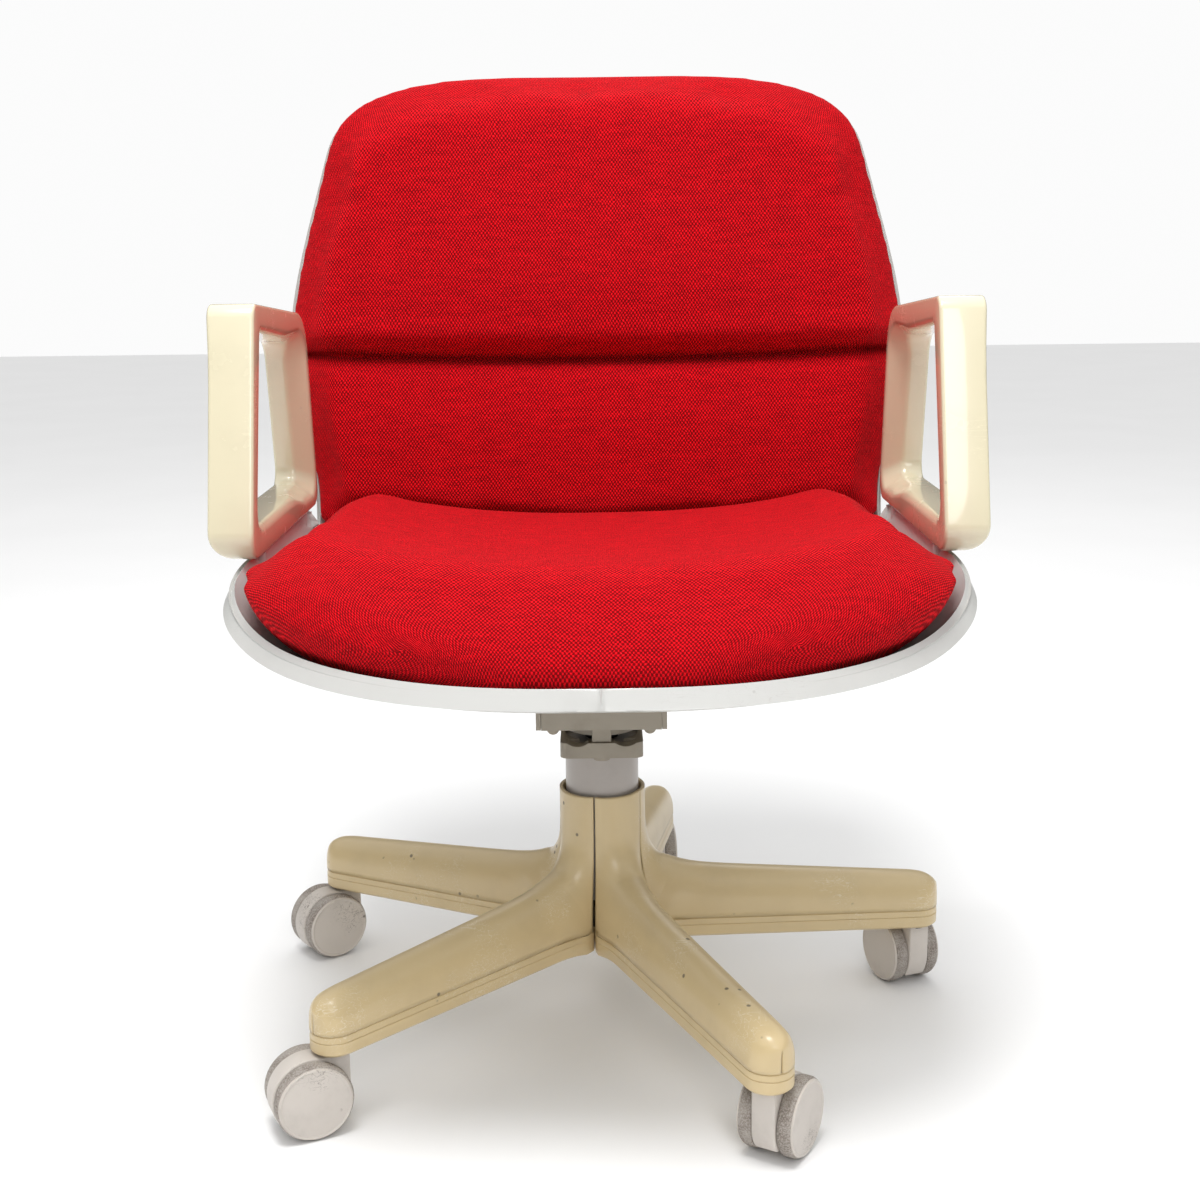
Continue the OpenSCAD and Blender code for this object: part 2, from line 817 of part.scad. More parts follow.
// Top of the foam: dished in the middle, raised along the sides, crowned at the front
function foam_top(x, y) =
    inner_z + seat_foam + 27 * pow(min(1, abs(x) / 212), 2.4)
    + lookup(y, [[-280, 12], [-235, 15], [-150, 6], [0, 0], [140, -4]]);

// Gap under a cushion, wider where the sides of the shell curve most
function bed(t) = 1.6 + 6.4 * pow(abs(t), 6);

// Share by which the foam overhangs the rim ahead of the arms
pad_bulge = 0.05;
function overhang(k) = 1 + pad_bulge * smooth((-k - 0.3) / 0.3);
function plan_y(k) = k < 0 ? mix(pad_mid, pad_front, -k) : mix(pad_mid, pad_back, k);
function plan_hw(k) = k > 0.25 ? min(pad_half, arm_x - 1) * cap((k - 0.25) / 0.75, 4)
                    : k > -0.2 ? min(pad_half, arm_x - 1)
                    : mix(min(pad_half, arm_x - 1), pad_half, smooth((-k - 0.2) / 0.35)) * cap(-k, 3.5);
pad_k = [for (a = [-84:7:84]) sin(a)];
pad_t = [for (a = [-90:10:90]) sin(a)];

function pad_edge(k, t) =
    let (rho = pow(pow(abs(k), 6) + pow(abs(t), 6), 1 / 6), sharp = k > 0.5 ? 16 : 5)
    pow(max(0, 1 - pow(min(1, rho), mix(5, sharp, smooth((k - 0.5) * 4)))), 0.45);

module seat_cushion() {
    skin = 5;
    lower = [for (k = pad_k) [for (t = pad_t)
        let (x = t * plan_hw(k), y = plan_y(k))
        [x, y, bowl(x, y) + bed(t)]]];
    upper = [for (i = [0:len(pad_k) - 1]) [for (j = [0:len(pad_t) - 1])
        let (low = lower[i][j], top = foam_top(low[0], low[1]), e = pad_edge(pad_k[i], pad_t[j]))
        [low[0] * overhang(pad_k[i]), low[1], low[2] + skin + max(0, top - low[2] - skin) * e]]];
    color("#c8102e")
    grid_solid(upper, lower);
}

back_low = q_back - 12;
back_high = q_top - 2;
back_rows = concat(
    [for (a = [12:19:88]) back_low + 34 * (1 - cos(a))],
    [back_low + 75, q_back + seam_up - 22, q_back + seam_up - 8, q_back + seam_up,
     q_back + seam_up + 8, q_back + seam_up + 26, q_back + seam_up + 70],
    [for (a = [85:-11:8]) back_high - 88 * (1 - cos(a))]
);

function back_ends(q) =
    q < back_low + 30 ? mix(0.94, 1, cap(1 - (q - back_low) / 30, 2))
    : q > back_high - 88 ? cap(1 - (back_high - q) / 88, top_n) : 1;
function back_fill(q) =
    (q < back_low + 14 ? cap(1 - (q - back_low) / 14, 2)
    : q > back_high - 60 ? cap(1 - (back_high - q) / 60, 2) : 1)
    * (1 - 0.4 * exp(-pow((q - q_back - seam_up) / 9, 2)));
function back_thick(q) =
    lookup(q, [[back_low, back_foam - 2], [q_back + seam_up - 10, back_foam - 4],
               [q_back + seam_up + 30, back_foam + 8], [back_high, back_foam]]);

module back_cushion() {
    skin = 5;
    lower = [for (q = back_rows) [for (t = pad_t)
        let (p = t * (half_w(q) - 8) * back_ends(q))
        skin_at(p, q, bed(t))]];
    upper = [for (q = back_rows) [for (t = pad_t)
        let (p = t * (half_w(q) - 8) * back_ends(q), e = pow(max(0, 1 - pow(abs(t), 5)), 0.45))
        skin_at(p, q, bed(t) + skin + (back_thick(q) - skin) * back_fill(q) * e)]];
    color("#c8102e")
    grid_solid(upper, lower);
}

// ---------------------------------------------------------------- arms

// Side view of an arm as [y, z]: leaning posts under a bar that drops to the rear
function arm_corners(inset) = [
    [-157 + inset * 1.25, arm_z + inset, 18],
    [-103 + inset, arm_z + arm_h - inset, 13],
    [112 - inset, arm_z + arm_h - 17 - inset * 1.05, 42 - inset * 0.6],
    [136 - inset, arm_z + inset, 18]
];

module arm(side) {
    loop = rounded(arm_corners(0));
    window = rounded([for (c = arm_corners(arm_t)) [c[0], c[1], max(6, c[2] - 4)]]);
    color("#e3dac0")
    difference() {
        translate([side > 0 ? arm_x : -arm_x - arm_w, 0, 0])
            rotate([90, 0, 90])
                linear_extrude(arm_w)
                    difference() {
                        polygon(loop);
                        polygon(window);
                    }
        for (y = arm_screw_y)
            translate([side * arm_screw_x, y, arm_z - 1])
                cylinder(r = arm_screw_r, h = 15);
    }
}

module arm_screws() {
    color("#77777a")
    for (x = [-1, 1], y = arm_screw_y)
        translate([x * arm_screw_x, y, arm_z - arm_boss_h]) {
            cylinder(r = arm_screw_r, h = arm_boss_h + 13.5);
            translate([0, 0, -3])
                cylinder(r = 5, h = 3);
        }
}

// ---------------------------------------------------------------- assembly

base_frame();
leg_cover(0);  // leg_cover_1
leg_cover(1);  // leg_cover_2
leg_cover(2);  // leg_cover_3
leg_cover(3);  // leg_cover_4
leg_cover(4);  // leg_cover_5
leg_underside(0);  // leg_underside_1
leg_underside(1);  // leg_underside_2
leg_underside(2);  // leg_underside_3
leg_underside(3);  // leg_underside_4
leg_underside(4);  // leg_underside_5
guide_bush();
thrust_bearing();
castor_hood(0);  // castor_hood_1
castor_hood(1);  // castor_hood_2
castor_hood(2);  // castor_hood_3
castor_hood(3);  // castor_hood_4
castor_hood(4);  // castor_hood_5
castor_stem(0);  // castor_stem_1
castor_stem(1);  // castor_stem_2
castor_stem(2);  // castor_stem_3
castor_stem(3);  // castor_stem_4
castor_stem(4);  // castor_stem_5
castor_axle(0);  // castor_axle_1
castor_axle(1);  // castor_axle_2
castor_axle(2);  // castor_axle_3
castor_axle(3);  // castor_axle_4
castor_axle(4);  // castor_axle_5
castor_wheel(0, 1);  // wheel_left_1
castor_wheel(1, 1);  // wheel_left_2
castor_wheel(2, 1);  // wheel_left_3
castor_wheel(3, 1);  // wheel_left_4
castor_wheel(4, 1);  // wheel_left_5
castor_wheel(0, -1);  // wheel_right_1
castor_wheel(1, -1);  // wheel_right_2
castor_wheel(2, -1);  // wheel_right_3
castor_wheel(3, -1);  // wheel_right_4
castor_wheel(4, -1);  // wheel_right_5
piston_rod();
retaining_clip();
gas_cylinder();
column_cover();
tilt_housing();
housing_screws();
lever_pin();
tilt_springs();
release_collar();
release_tappet();
valve_lever();
valve_pin();
seat_bracket();
tilt_pin();
seat_bolts();
seat_shell();
seat_cushion();
back_cushion();
arm(-1);  // arm_left
arm(1);  // arm_right
arm_screws();
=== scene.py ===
"""Upholstered swivel armchair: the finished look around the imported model."""

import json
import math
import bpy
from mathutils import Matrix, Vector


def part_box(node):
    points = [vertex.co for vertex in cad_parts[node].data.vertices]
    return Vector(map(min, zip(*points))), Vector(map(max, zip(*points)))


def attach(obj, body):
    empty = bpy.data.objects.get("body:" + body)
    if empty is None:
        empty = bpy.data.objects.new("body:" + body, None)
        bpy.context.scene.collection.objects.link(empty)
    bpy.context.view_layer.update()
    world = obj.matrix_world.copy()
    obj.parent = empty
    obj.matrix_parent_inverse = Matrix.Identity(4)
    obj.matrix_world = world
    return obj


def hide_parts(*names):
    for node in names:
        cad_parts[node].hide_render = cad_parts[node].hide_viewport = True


bl_info = {
    "name": "Swivel Armchair",
    "version": (1, 0, 0),
    "blender": (4, 5, 0),
    "location": "View3D > Sidebar > Armchair",
    "description": "Builds the covers, shell, cushions, arms and castors of a swivel armchair",
    "category": "Add Mesh",
}

import bmesh
import bpy
from mathutils import Matrix, Vector

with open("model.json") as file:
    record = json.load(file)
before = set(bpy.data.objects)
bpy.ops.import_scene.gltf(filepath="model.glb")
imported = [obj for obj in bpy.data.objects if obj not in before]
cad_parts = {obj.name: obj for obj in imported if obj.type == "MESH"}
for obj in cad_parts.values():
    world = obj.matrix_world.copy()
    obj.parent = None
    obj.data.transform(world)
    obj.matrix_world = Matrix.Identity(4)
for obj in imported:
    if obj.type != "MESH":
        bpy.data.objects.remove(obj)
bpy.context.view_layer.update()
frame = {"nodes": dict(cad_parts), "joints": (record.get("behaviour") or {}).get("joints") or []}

LEGS = range(1, 6)
SIDES = ("left", "right")
HALF_STEP = math.radians(36)  # half the turn from one leg to the next
HUB_TOP = 0.204
SEAM_HEIGHT = 0.078  # the seam between a leg's cover and its underside, at the castor
COVER_LAP = 0.0006  # the cover stops this far over the seam
NOSE_RADIUS = 0.019  # round end of a leg
PAN_HEIGHT = 0.323  # inner face of the shell's pan over the floor
PAN_FRONT = -0.130
FRONT_RADIUS = 0.280  # curve that drops the front of the shell
PAD_MIDDLE = -0.070  # row of the seat cushion where k is 0
BOLTS = [(x, y) for x in (-0.044, 0.044) for y in (-0.036, 0.106)]
ARM_SCREWS = [(x, y) for x in (-0.262, 0.262) for y in (-0.106, 0.074)]
CAMERA_AT, LENS = (0, -1.331, 0.658), 48.93
DOWNWARD, ROLL = 12.37, -0.68  # degrees
SWELL_FRAMES = 20
CREASE = 0.148  # crease of the back cushion over the bend


# ---- sizes and colours


def length(name, description, default):
    return bpy.props.FloatProperty(name=name, description=description, default=default, unit="LENGTH", precision=4)


def colour(name, description, default):
    return bpy.props.FloatVectorProperty(
        name=name, description=description, default=default, size=4, min=0, max=1, subtype="COLOR"
    )


class ArmchairSizes(bpy.types.PropertyGroup):
    leg_radius: length("Leg radius", "From the column to each castor stem", 0.280)
    hub_radius: length("Hub radius", "Outer radius of the moulded hub", 0.038)
    cover_wall: length("Cover wall", "Wall of the moulded leg covers", 0.003)
    wheel_radius: length("Wheel radius", "Radius of a castor wheel", 0.030)
    wheel_width: length("Wheel width", "Width of one castor wheel", 0.0127)
    hood_width: length("Hood width", "Width of the hood between the wheels", 0.019)
    castor_trail: length("Castor trail", "From the castor stem to its axle", 0.022)
    seat_width: length("Seat width", "Between the upper edges of the seat shell", 0.520)
    back_width: length("Back width", "Widest part of the back", 0.554)
    top_width: length("Top width", "Width of the back under its top corners", 0.474)
    seat_front: length("Seat front", "Front edge of the shell ahead of the column", 0.281)
    pan_depth: length("Pan depth", "Depth of the flat pan", 0.230)
    bend_radius: length("Bend radius", "Bend between the seat and the back", 0.100)
    back_lean: bpy.props.FloatProperty(
        name="Back lean", description="Lean of the back from upright", default=math.radians(8), subtype="ANGLE"
    )
    back_length: length("Back length", "Straight part of the back", 0.398)
    shell_wall: length("Shell wall", "Wall of the bucket shell", 0.005)
    rim_seat: length("Seat rim", "Depth of the rolled rim along the seat", 0.016)
    rim_back: length("Back rim", "Depth of the rolled rim up the back", 0.009)
    arm_gap: length("Arm gap", "Between the inner faces of the arms", 0.508)
    arm_width: length("Arm width", "Width of an arm", 0.034)
    arm_thickness: length("Arm thickness", "Thickness of the arm's loop", 0.022)
    arm_height: length("Arm height", "Height of an arm over the shell", 0.187)
    nub_width: length("Nub width", "Spacing of the weave along a row", 0.0030)
    nub_height: length("Nub height", "Spacing of every second row of the weave", 0.0041)


class ArmchairColours(bpy.types.PropertyGroup):
    cloth: colour("Cloth", "Yarn of the upholstery", (0.84, 0.002, 0.010, 1))
    cloth_gap: colour("Cloth gaps", "Shadow between the nubs of the weave", (0.19, 0.0, 0.002, 1))
    shell: colour("Shell", "Moulded bucket shell", (0.52, 0.52, 0.50, 1))
    arm: colour("Arm", "Glossy arm moulding", (0.72, 0.66, 0.47, 1))
    base: colour("Base", "Moulded leg covers", (0.63, 0.49, 0.27, 1))
    castor: colour("Castor", "Castor hoods and wheel faces", (0.62, 0.57, 0.52, 1))
    tread: colour("Tread", "Worn castor treads", (0.40, 0.36, 0.32, 1))
    column: colour("Column", "Column cover tube", (0.43, 0.39, 0.36, 1))
    mechanism: colour("Mechanism", "Painted tilt mechanism", (0.34, 0.30, 0.24, 1))
    steel: colour("Steel", "Bare steel fittings", (0.42, 0.42, 0.42, 1))
    black: colour("Black", "Black enamelled steel", (0.015, 0.015, 0.017, 1))


def sizes():
    return bpy.context.scene.armchair_sizes


def colours():
    return bpy.context.scene.armchair_colours


# ---- small maths


def mix(a, b, k):
    return a + (b - a) * k


def clamp01(k):
    return min(1.0, max(0.0, k))


def smooth(k):
    k = clamp01(k)
    return k * k * (3 - 2 * k)


def cap(k, n):
    """1 at k = 0 falling to 0 at k = 1, rounder at the end for a lower n."""
    return max(0.0, 1 - clamp01(k) ** n) ** (1 / n)


def hump(x, width):
    """1 where x is 0, and dying away on both sides of it."""
    return math.exp(-((x / width) ** 2))


def spread(k, n):
    """k to the power n, with its sign kept."""
    return math.copysign(abs(k) ** n, k)


def along(table, x):
    """Smooth curve through rows of (x, value, ...), flat beyond its ends."""
    if x <= table[0][0]:
        return list(table[0][1:])
    if x >= table[-1][0]:
        return list(table[-1][1:])
    i = max(k for k in range(len(table) - 1) if table[k][0] <= x)
    a, b = table[i], table[i + 1]
    before = table[i - 1] if i else a
    after = table[i + 2] if i + 2 < len(table) else b
    step = b[0] - a[0]
    t = (x - a[0]) / step
    out = []
    for c in range(1, len(a)):
        slope_a = (b[c] - before[c]) / (b[0] - before[0]) * step
        slope_b = (after[c] - a[c]) / (after[0] - a[0]) * step
        if i == 0:
            slope_a = b[c] - a[c]
        if i + 2 == len(table):
            slope_b = b[c] - a[c]
        h = t * t * (3 - 2 * t)
        out.append(
            a[c] * (1 - h) + b[c] * h + slope_a * (t**3 - 2 * t * t + t) + slope_b * (t**3 - t * t)
        )
    return out


# ---- mesh helpers


def as_mesh(bm, name):
    mesh = bpy.data.meshes.new(name)
    bm.to_mesh(mesh)
    bm.free()
    return mesh


def linked(name, data):
    made = bpy.data.objects.new(name, data)
    bpy.context.collection.objects.link(made)
    return made


def add_piece(name, bm, material, body, slot, replaced=(), sharp=38, weld=1e-5, recalc=True):
    if weld:
        bmesh.ops.remove_doubles(bm, verts=bm.verts, dist=weld)
    if recalc:
        bmesh.ops.recalc_face_normals(bm, faces=bm.faces)
    mesh = as_mesh(bm, name)
    mesh.materials.append(material)
    mesh.polygons.foreach_set("use_smooth", [True] * len(mesh.polygons))
    mesh.set_sharp_from_angle(angle=math.radians(sharp))
    piece = linked(name, mesh)
    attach(piece, body)
    if replaced:
        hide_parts(*replaced)
    return piece


def add_modifier(piece, kind, **values):
    modifier = piece.modifiers.new(kind.title(), kind)
    for key, value in values.items():
        setattr(modifier, key, value)
    return modifier


def mapped_grid(bm, across, down, place):
    """A grid whose corners (a, b), each from -1 to 1, go to place(a, b). Returns its new corners."""
    made = bmesh.ops.create_grid(bm, x_segments=across, y_segments=down, size=1)["verts"]
    spots = {v: (v.co.x, v.co.y) for v in made}
    for v, (a, b) in spots.items():
        v.co = place(a, b)
    return spots


def add_grid(bm, across, down, place):
    """Lays a second, separate grid, and bridges its border to the first one's."""
    other = bmesh.new()
    mapped_grid(other, across, down, place)
    mesh = as_mesh(other, "other_side")
    bm.from_mesh(mesh)
    bpy.data.meshes.remove(mesh)
    bmesh.ops.bridge_loops(bm, edges=[e for e in bm.edges if e.is_boundary])


def roll_on(bm, edges, spots, place):
    """Extrudes an open row of edges, and puts each new corner where place(spot) says."""
    made = bmesh.ops.extrude_edge_only(bm, edges=edges)["geom"]
    fresh = {v for v in made if isinstance(v, bmesh.types.BMVert)}
    moved = {}
    for v in fresh:
        root = next(e.other_vert(v) for e in v.link_edges if e.other_vert(v) in spots)
        moved[v] = spots[root]
    for v, spot in moved.items():
        v.co = place(spot)
    return [e for e in made if isinstance(e, bmesh.types.BMEdge) and set(e.verts) <= fresh], moved


def spin_profile(bm, profile, steps=72):
    """Turns a profile of (radius, height) a full turn about Z."""
    verts = [bm.verts.new((r, 0, z)) for r, z in profile]
    edges = [bm.edges.new(pair) for pair in zip(verts, verts[1:])]
    bmesh.ops.spin(
        bm, geom=verts + edges, cent=(0, 0, 0), axis=(0, 0, 1), angle=2 * math.pi, steps=steps, use_merge=True
    )
    bmesh.ops.remove_doubles(bm, verts=bm.verts, dist=1e-6)


def bevel_edges(bm, edges, width, segments=3):
    bmesh.ops.bevel(
        bm, geom=list(edges), offset=width, offset_type="OFFSET", affect="EDGES",
        segments=segments, profile=0.5, material=-1,
    )


def copy_of(node):
    """The node's own mesh, merged, with flat faces joined."""
    bm = bmesh.new()
    bm.from_mesh(frame["nodes"][node].data)
    bmesh.ops.remove_doubles(bm, verts=bm.verts, dist=2e-6)
    bmesh.ops.dissolve_limit(
        bm, angle_limit=math.radians(0.6), verts=bm.verts, edges=bm.edges, use_dissolve_boundaries=False
    )
    return bm


def leg_angle(i):
    point = next(j for j in frame["joints"] if j["name"] == f"castor_swivel_{i}")["pos_m"]
    return math.atan2(point[1], point[0])


def leg_frame(i):
    return Matrix.Rotation(leg_angle(i), 4, "Z")


def axle_frame(i):
    """The axle's middle, with x away from the stem, y up and z along the axle."""
    spin = next(j for j in frame["joints"] if j["name"] == f"wheel_left_spin_{i}")
    swivel = next(j for j in frame["joints"] if j["name"] == f"castor_swivel_{i}")
    axle, stem = Vector(spin["pos_m"]), Vector(swivel["pos_m"])
    away = Vector((axle.x - stem.x, axle.y - stem.y, 0)).normalized()
    up = Vector((0, 0, 1))
    return Matrix.Translation(axle) @ Matrix((away, up, away.cross(up))).transposed().to_4x4()


# ---- materials


def node_group(name, inputs, outputs):
    group = bpy.data.node_groups.new(name, "ShaderNodeTree")
    for label, kind, default in inputs:
        socket = group.interface.new_socket(name=label, in_out="INPUT", socket_type=kind)
        if default is not None:
            socket.default_value = default
    for label, kind in outputs:
        group.interface.new_socket(name=label, in_out="OUTPUT", socket_type=kind)
    return group, group.nodes.new("NodeGroupInput"), group.nodes.new("NodeGroupOutput")


class Wiring:
    """Short ways to place and join nodes in one tree."""

    def __init__(self, tree):
        self.tree = tree

    def node(self, kind, **values):
        made = self.tree.nodes.new(kind)
        for key, value in values.items():
            setattr(made, key, value)
        return made

    def join(self, source, target):
        self.tree.links.new(source, target)

    def feed(self, target, value):
        if isinstance(value, bpy.types.NodeSocket):
            self.join(value, target)
        else:
            target.default_value = value

    def give(self, node, values):
        for label, value in values.items():
            node.inputs[label].default_value = value

    def math(self, operation, *values):
        made = self.node("ShaderNodeMath", operation=operation)
        for socket, value in zip(made.inputs, values):
            self.feed(socket, value)
        return made.outputs[0]

    def plus(self, a, b):
        return self.math("ADD", a, b)

    def minus(self, a, b):
        return self.math("SUBTRACT", a, b)

    def times(self, a, b):
        return self.math("MULTIPLY", a, b)

    def noise(self, vector, scale, detail=3.0, roughness=0.5):
        made = self.node("ShaderNodeTexNoise")
        self.feed(made.inputs["Vector"], vector)
        self.feed(made.inputs["Scale"], scale)
        self.give(made, {"Detail": detail, "Roughness": roughness})
        return made.outputs["Fac"]

    def band(self, value, low, high, out_low=0.0, out_high=1.0):
        made = self.node("ShaderNodeMapRange", interpolation_type="SMOOTHSTEP")
        for label, v in (
            ("Value", value), ("From Min", low), ("From Max", high), ("To Min", out_low), ("To Max", out_high)
        ):
            self.feed(made.inputs[label], v)
        return made.outputs["Result"]

    def blend(self, factor, a, b):
        made = self.node("ShaderNodeMix", data_type="RGBA")
        self.feed(made.inputs[0], factor)
        self.feed(made.inputs[6], a)
        self.feed(made.inputs[7], b)
        return made.outputs[2]

    def relief(self, shader, height, strength, distance):
        made = self.node("ShaderNodeBump")
        self.give(made, {"Strength": strength, "Distance": distance})
        self.join(height, made.inputs["Height"])
        self.join(made.outputs["Normal"], shader.inputs["Normal"])

    def stretched(self, vector, turn, scale):
        made = self.node("ShaderNodeMapping")
        self.feed(made.inputs["Vector"], vector)
        self.give(made, {"Rotation": turn, "Scale": scale})
        return made.outputs["Vector"]


def wear_group():
    """Handling marks on a moulding: faint mottling, scratches in patches and dark nicks."""
    found = bpy.data.node_groups.get("moulding_wear")
    if found:
        return found
    group, start, end = node_group(
        "moulding_wear",
        [
            ("Vector", "NodeSocketVector", None),
            ("Colour", "NodeSocketColor", (0.8, 0.8, 0.8, 1)),
            ("Scuff Colour", "NodeSocketColor", (0.9, 0.9, 0.9, 1)),
            ("Dirt Colour", "NodeSocketColor", (0.1, 0.08, 0.06, 1)),
            ("Scuffs", "NodeSocketFloat", 0.5),
            ("Dirt", "NodeSocketFloat", 0.3),
            ("Nicks", "NodeSocketFloat", 0.5),
            ("Roughness", "NodeSocketFloat", 0.4),
        ],
        [("Colour", "NodeSocketColor"), ("Roughness", "NodeSocketFloat"), ("Height", "NodeSocketFloat")],
    )
    w = Wiring(group)
    given = start.outputs
    vector = given["Vector"]
    mottle = w.noise(vector, 22.0, 5.0, 0.6)
    dirt = w.times(w.band(mottle, 0.45, 0.78), given["Dirt"])
    patch = w.band(w.noise(vector, 16.0, 2.0), 0.52, 0.68)
    scratch_a = w.noise(w.stretched(vector, (0.3, 0.2, 0.7), (16, 190, 190)), 1.0, 2.0)
    scratch_b = w.noise(w.stretched(vector, (0.9, -0.4, -0.5), (210, 18, 210)), 1.0, 2.0)
    line_a = w.minus(1.0, w.band(w.math("ABSOLUTE", w.minus(scratch_a, 0.5)), 0.002, 0.012))
    line_b = w.minus(1.0, w.band(w.math("ABSOLUTE", w.minus(scratch_b, 0.5)), 0.002, 0.010))
    lines = w.times(w.math("MAXIMUM", line_a, line_b), patch)
    scuff = w.times(lines, given["Scuffs"])
    cells = w.node("ShaderNodeTexVoronoi")
    w.feed(cells.inputs["Vector"], vector)
    cells.inputs["Scale"].default_value = 75.0
    dots = w.band(cells.outputs["Distance"], 0.16, 0.08)
    rare = w.band(w.noise(vector, 31.0, 1.0), 0.60, 0.66)
    nick = w.times(w.times(dots, rare), given["Nicks"])
    worn = w.blend(scuff, given["Colour"], given["Scuff Colour"])
    dusty = w.blend(dirt, worn, given["Dirt Colour"])
    w.join(w.blend(nick, dusty, given["Dirt Colour"]), end.inputs["Colour"])
    rough = w.plus(given["Roughness"], w.times(mottle, 0.12))
    rough = w.plus(rough, w.times(scuff, 0.25))
    w.join(w.plus(rough, w.times(nick, 0.3)), end.inputs["Roughness"])
    peel = w.times(w.noise(vector, 900.0, 1.0), 0.12)
    dents = w.times(w.plus(scuff, nick), -0.6)
    w.join(w.plus(peel, dents), end.inputs["Height"])
    return group


def weave_group():
    """Hopsack: rows of nubs, each row shifted by half a nub, wandering a little, with uneven yarn, painted shade in
    the gaps between the nubs and a painted pinkish highlight on scattered nub tops.
    """
    found = bpy.data.node_groups.get("hopsack")
    if found:
        return found
    group, start, end = node_group(
        "hopsack",
        [
            ("Vector", "NodeSocketVector", None),
            ("Nub Width", "NodeSocketFloat", 0.003),
            ("Nub Height", "NodeSocketFloat", 0.004),
            ("Yarn", "NodeSocketColor", (0.6, 0.0, 0.01, 1)),
            ("Gap", "NodeSocketColor", (0.1, 0.0, 0.0, 1)),
        ],
        [("Colour", "NodeSocketColor"), ("Roughness", "NodeSocketFloat"), ("Height", "NodeSocketFloat")],
    )
    w = Wiring(group)
    given = start.outputs
    parts = w.node("ShaderNodeSeparateXYZ")
    w.join(given["Vector"], parts.inputs[0])
    drift_a = w.noise(given["Vector"], 150.0, 2.0)
    drift_b = w.noise(w.stretched(given["Vector"], (0, 0, 1.2), (1, 1, 1)), 130.0, 2.0)
    u = w.plus(parts.outputs[0], w.times(w.minus(drift_a, 0.5), 0.0028))
    v = w.plus(parts.outputs[1], w.times(w.minus(drift_b, 0.5), 0.0024))
    turn = 2 * math.pi
    wave_u = w.math("COSINE", w.times(w.math("DIVIDE", u, given["Nub Width"]), turn))
    wave_v = w.math("COSINE", w.times(w.math("DIVIDE", v, given["Nub Height"]), turn))
    nub = w.band(w.times(wave_u, wave_v), -0.75, 0.95)
    yarn = w.noise(given["Vector"], 520.0, 2.0, 0.6)
    slub = w.noise(w.stretched(given["Vector"], (0, 0, 0), (45, 210, 1)), 1.0, 2.0)
    height = w.plus(nub, w.times(w.minus(yarn, 0.5), 0.55))
    w.join(height, end.inputs["Height"])
    shade = w.plus(w.times(nub, 0.85), w.times(w.minus(slub, 0.5), 0.55))
    # the gap colour is painted shade between the nubs; the yarn colour is on the nub tops
    tone = w.blend(w.band(shade, 0.05, 0.8), given["Gap"], given["Yarn"])
    # painted highlight: a pinkish-red glint laid on scattered nub tops
    nub_glint = w.band(w.noise(given["Vector"], 700.0, 1.0), 0.70, 0.80)
    bright = w.blend(w.times(nub_glint, w.times(nub, 0.45)), tone, (0.95, 0.10, 0.13, 1))
    w.join(bright, end.inputs["Colour"])
    w.join(w.minus(0.95, w.times(nub, 0.12)), end.inputs["Roughness"])
    return group


def plain_material(name):
    material = bpy.data.materials.new(name)
    material.use_nodes = True
    w = Wiring(material.node_tree)
    return material, w, material.node_tree.nodes["Principled BSDF"]


def moulding(name, base, scuff=None, dirt=(0.10, 0.08, 0.06, 1), scuffs=0.5, grime=0.25, nicks=0.5,
             roughness=0.35, coat=0.0, coat_roughness=0.1, metallic=0.0, bump=0.12):
    found = bpy.data.materials.get(name)
    if found:
        return found
    material, w, shader = plain_material(name)
    where = w.node("ShaderNodeTexCoord").outputs["Object"]
    wear = w.node("ShaderNodeGroup", node_tree=wear_group())
    base = tuple(base)
    w.join(where, wear.inputs["Vector"])
    w.give(wear, {
        "Colour": base, "Scuff Colour": scuff or tuple(min(1, c * 1.25) for c in base[:3]) + (1,),
        "Dirt Colour": dirt, "Scuffs": scuffs, "Dirt": grime, "Nicks": nicks, "Roughness": roughness,
    })
    w.join(wear.outputs["Colour"], shader.inputs["Base Color"])
    w.join(wear.outputs["Roughness"], shader.inputs["Roughness"])
    w.relief(shader, wear.outputs["Height"], bump, 0.001)
    w.give(shader, {"Coat Weight": coat, "Coat Roughness": coat_roughness, "Metallic": metallic})
    return material


def base_plastic():
    return moulding("base_moulding", colours().base, scuff=(0.80, 0.72, 0.55, 1), scuffs=0.55, grime=0.08,
                    nicks=0.8, roughness=0.30, coat=0.3, coat_roughness=0.18)


def arm_plastic():
    return moulding("arm_moulding", colours().arm, scuffs=0.15, grime=0.05, nicks=0.25, roughness=0.20,
                    coat=0.9, coat_roughness=0.06, bump=0.03)


def shell_plastic():
    return moulding("shell_moulding", colours().shell, scuff=(0.40, 0.38, 0.36, 1), scuffs=0.35, grime=0.06,
                    nicks=0.35, roughness=0.28, coat=0.35, coat_roughness=0.15, bump=0.06)


def castor_plastic():
    return moulding("castor_moulding", colours().castor, scuff=(0.16, 0.13, 0.11, 1), scuffs=0.85, grime=0.22,
                    nicks=0.7, roughness=0.40)


def column_plastic():
    return moulding("column_tube", colours().column, scuffs=0.12, grime=0.10, nicks=0.1, roughness=0.30,
                    coat=0.2, coat_roughness=0.2, bump=0.04)


def mechanism_paint():
    return moulding("mechanism_enamel", colours().mechanism, scuffs=0.3, grime=0.35, nicks=0.3, roughness=0.40)


def collar_plastic():
    return moulding("collar_moulding", colours().mechanism, scuffs=0.25, grime=0.25, nicks=0.2, roughness=0.42)


def bare_steel():
    return moulding("bare_steel", colours().steel, scuffs=0.35, grime=0.25, nicks=0.2, roughness=0.30, metallic=1.0)


def black_enamel():
    return moulding("black_enamel", colours().black, scuff=(0.12, 0.12, 0.12, 1), scuffs=0.5, grime=0.1,
                    dirt=(0.10, 0.09, 0.08, 1), roughness=0.38)


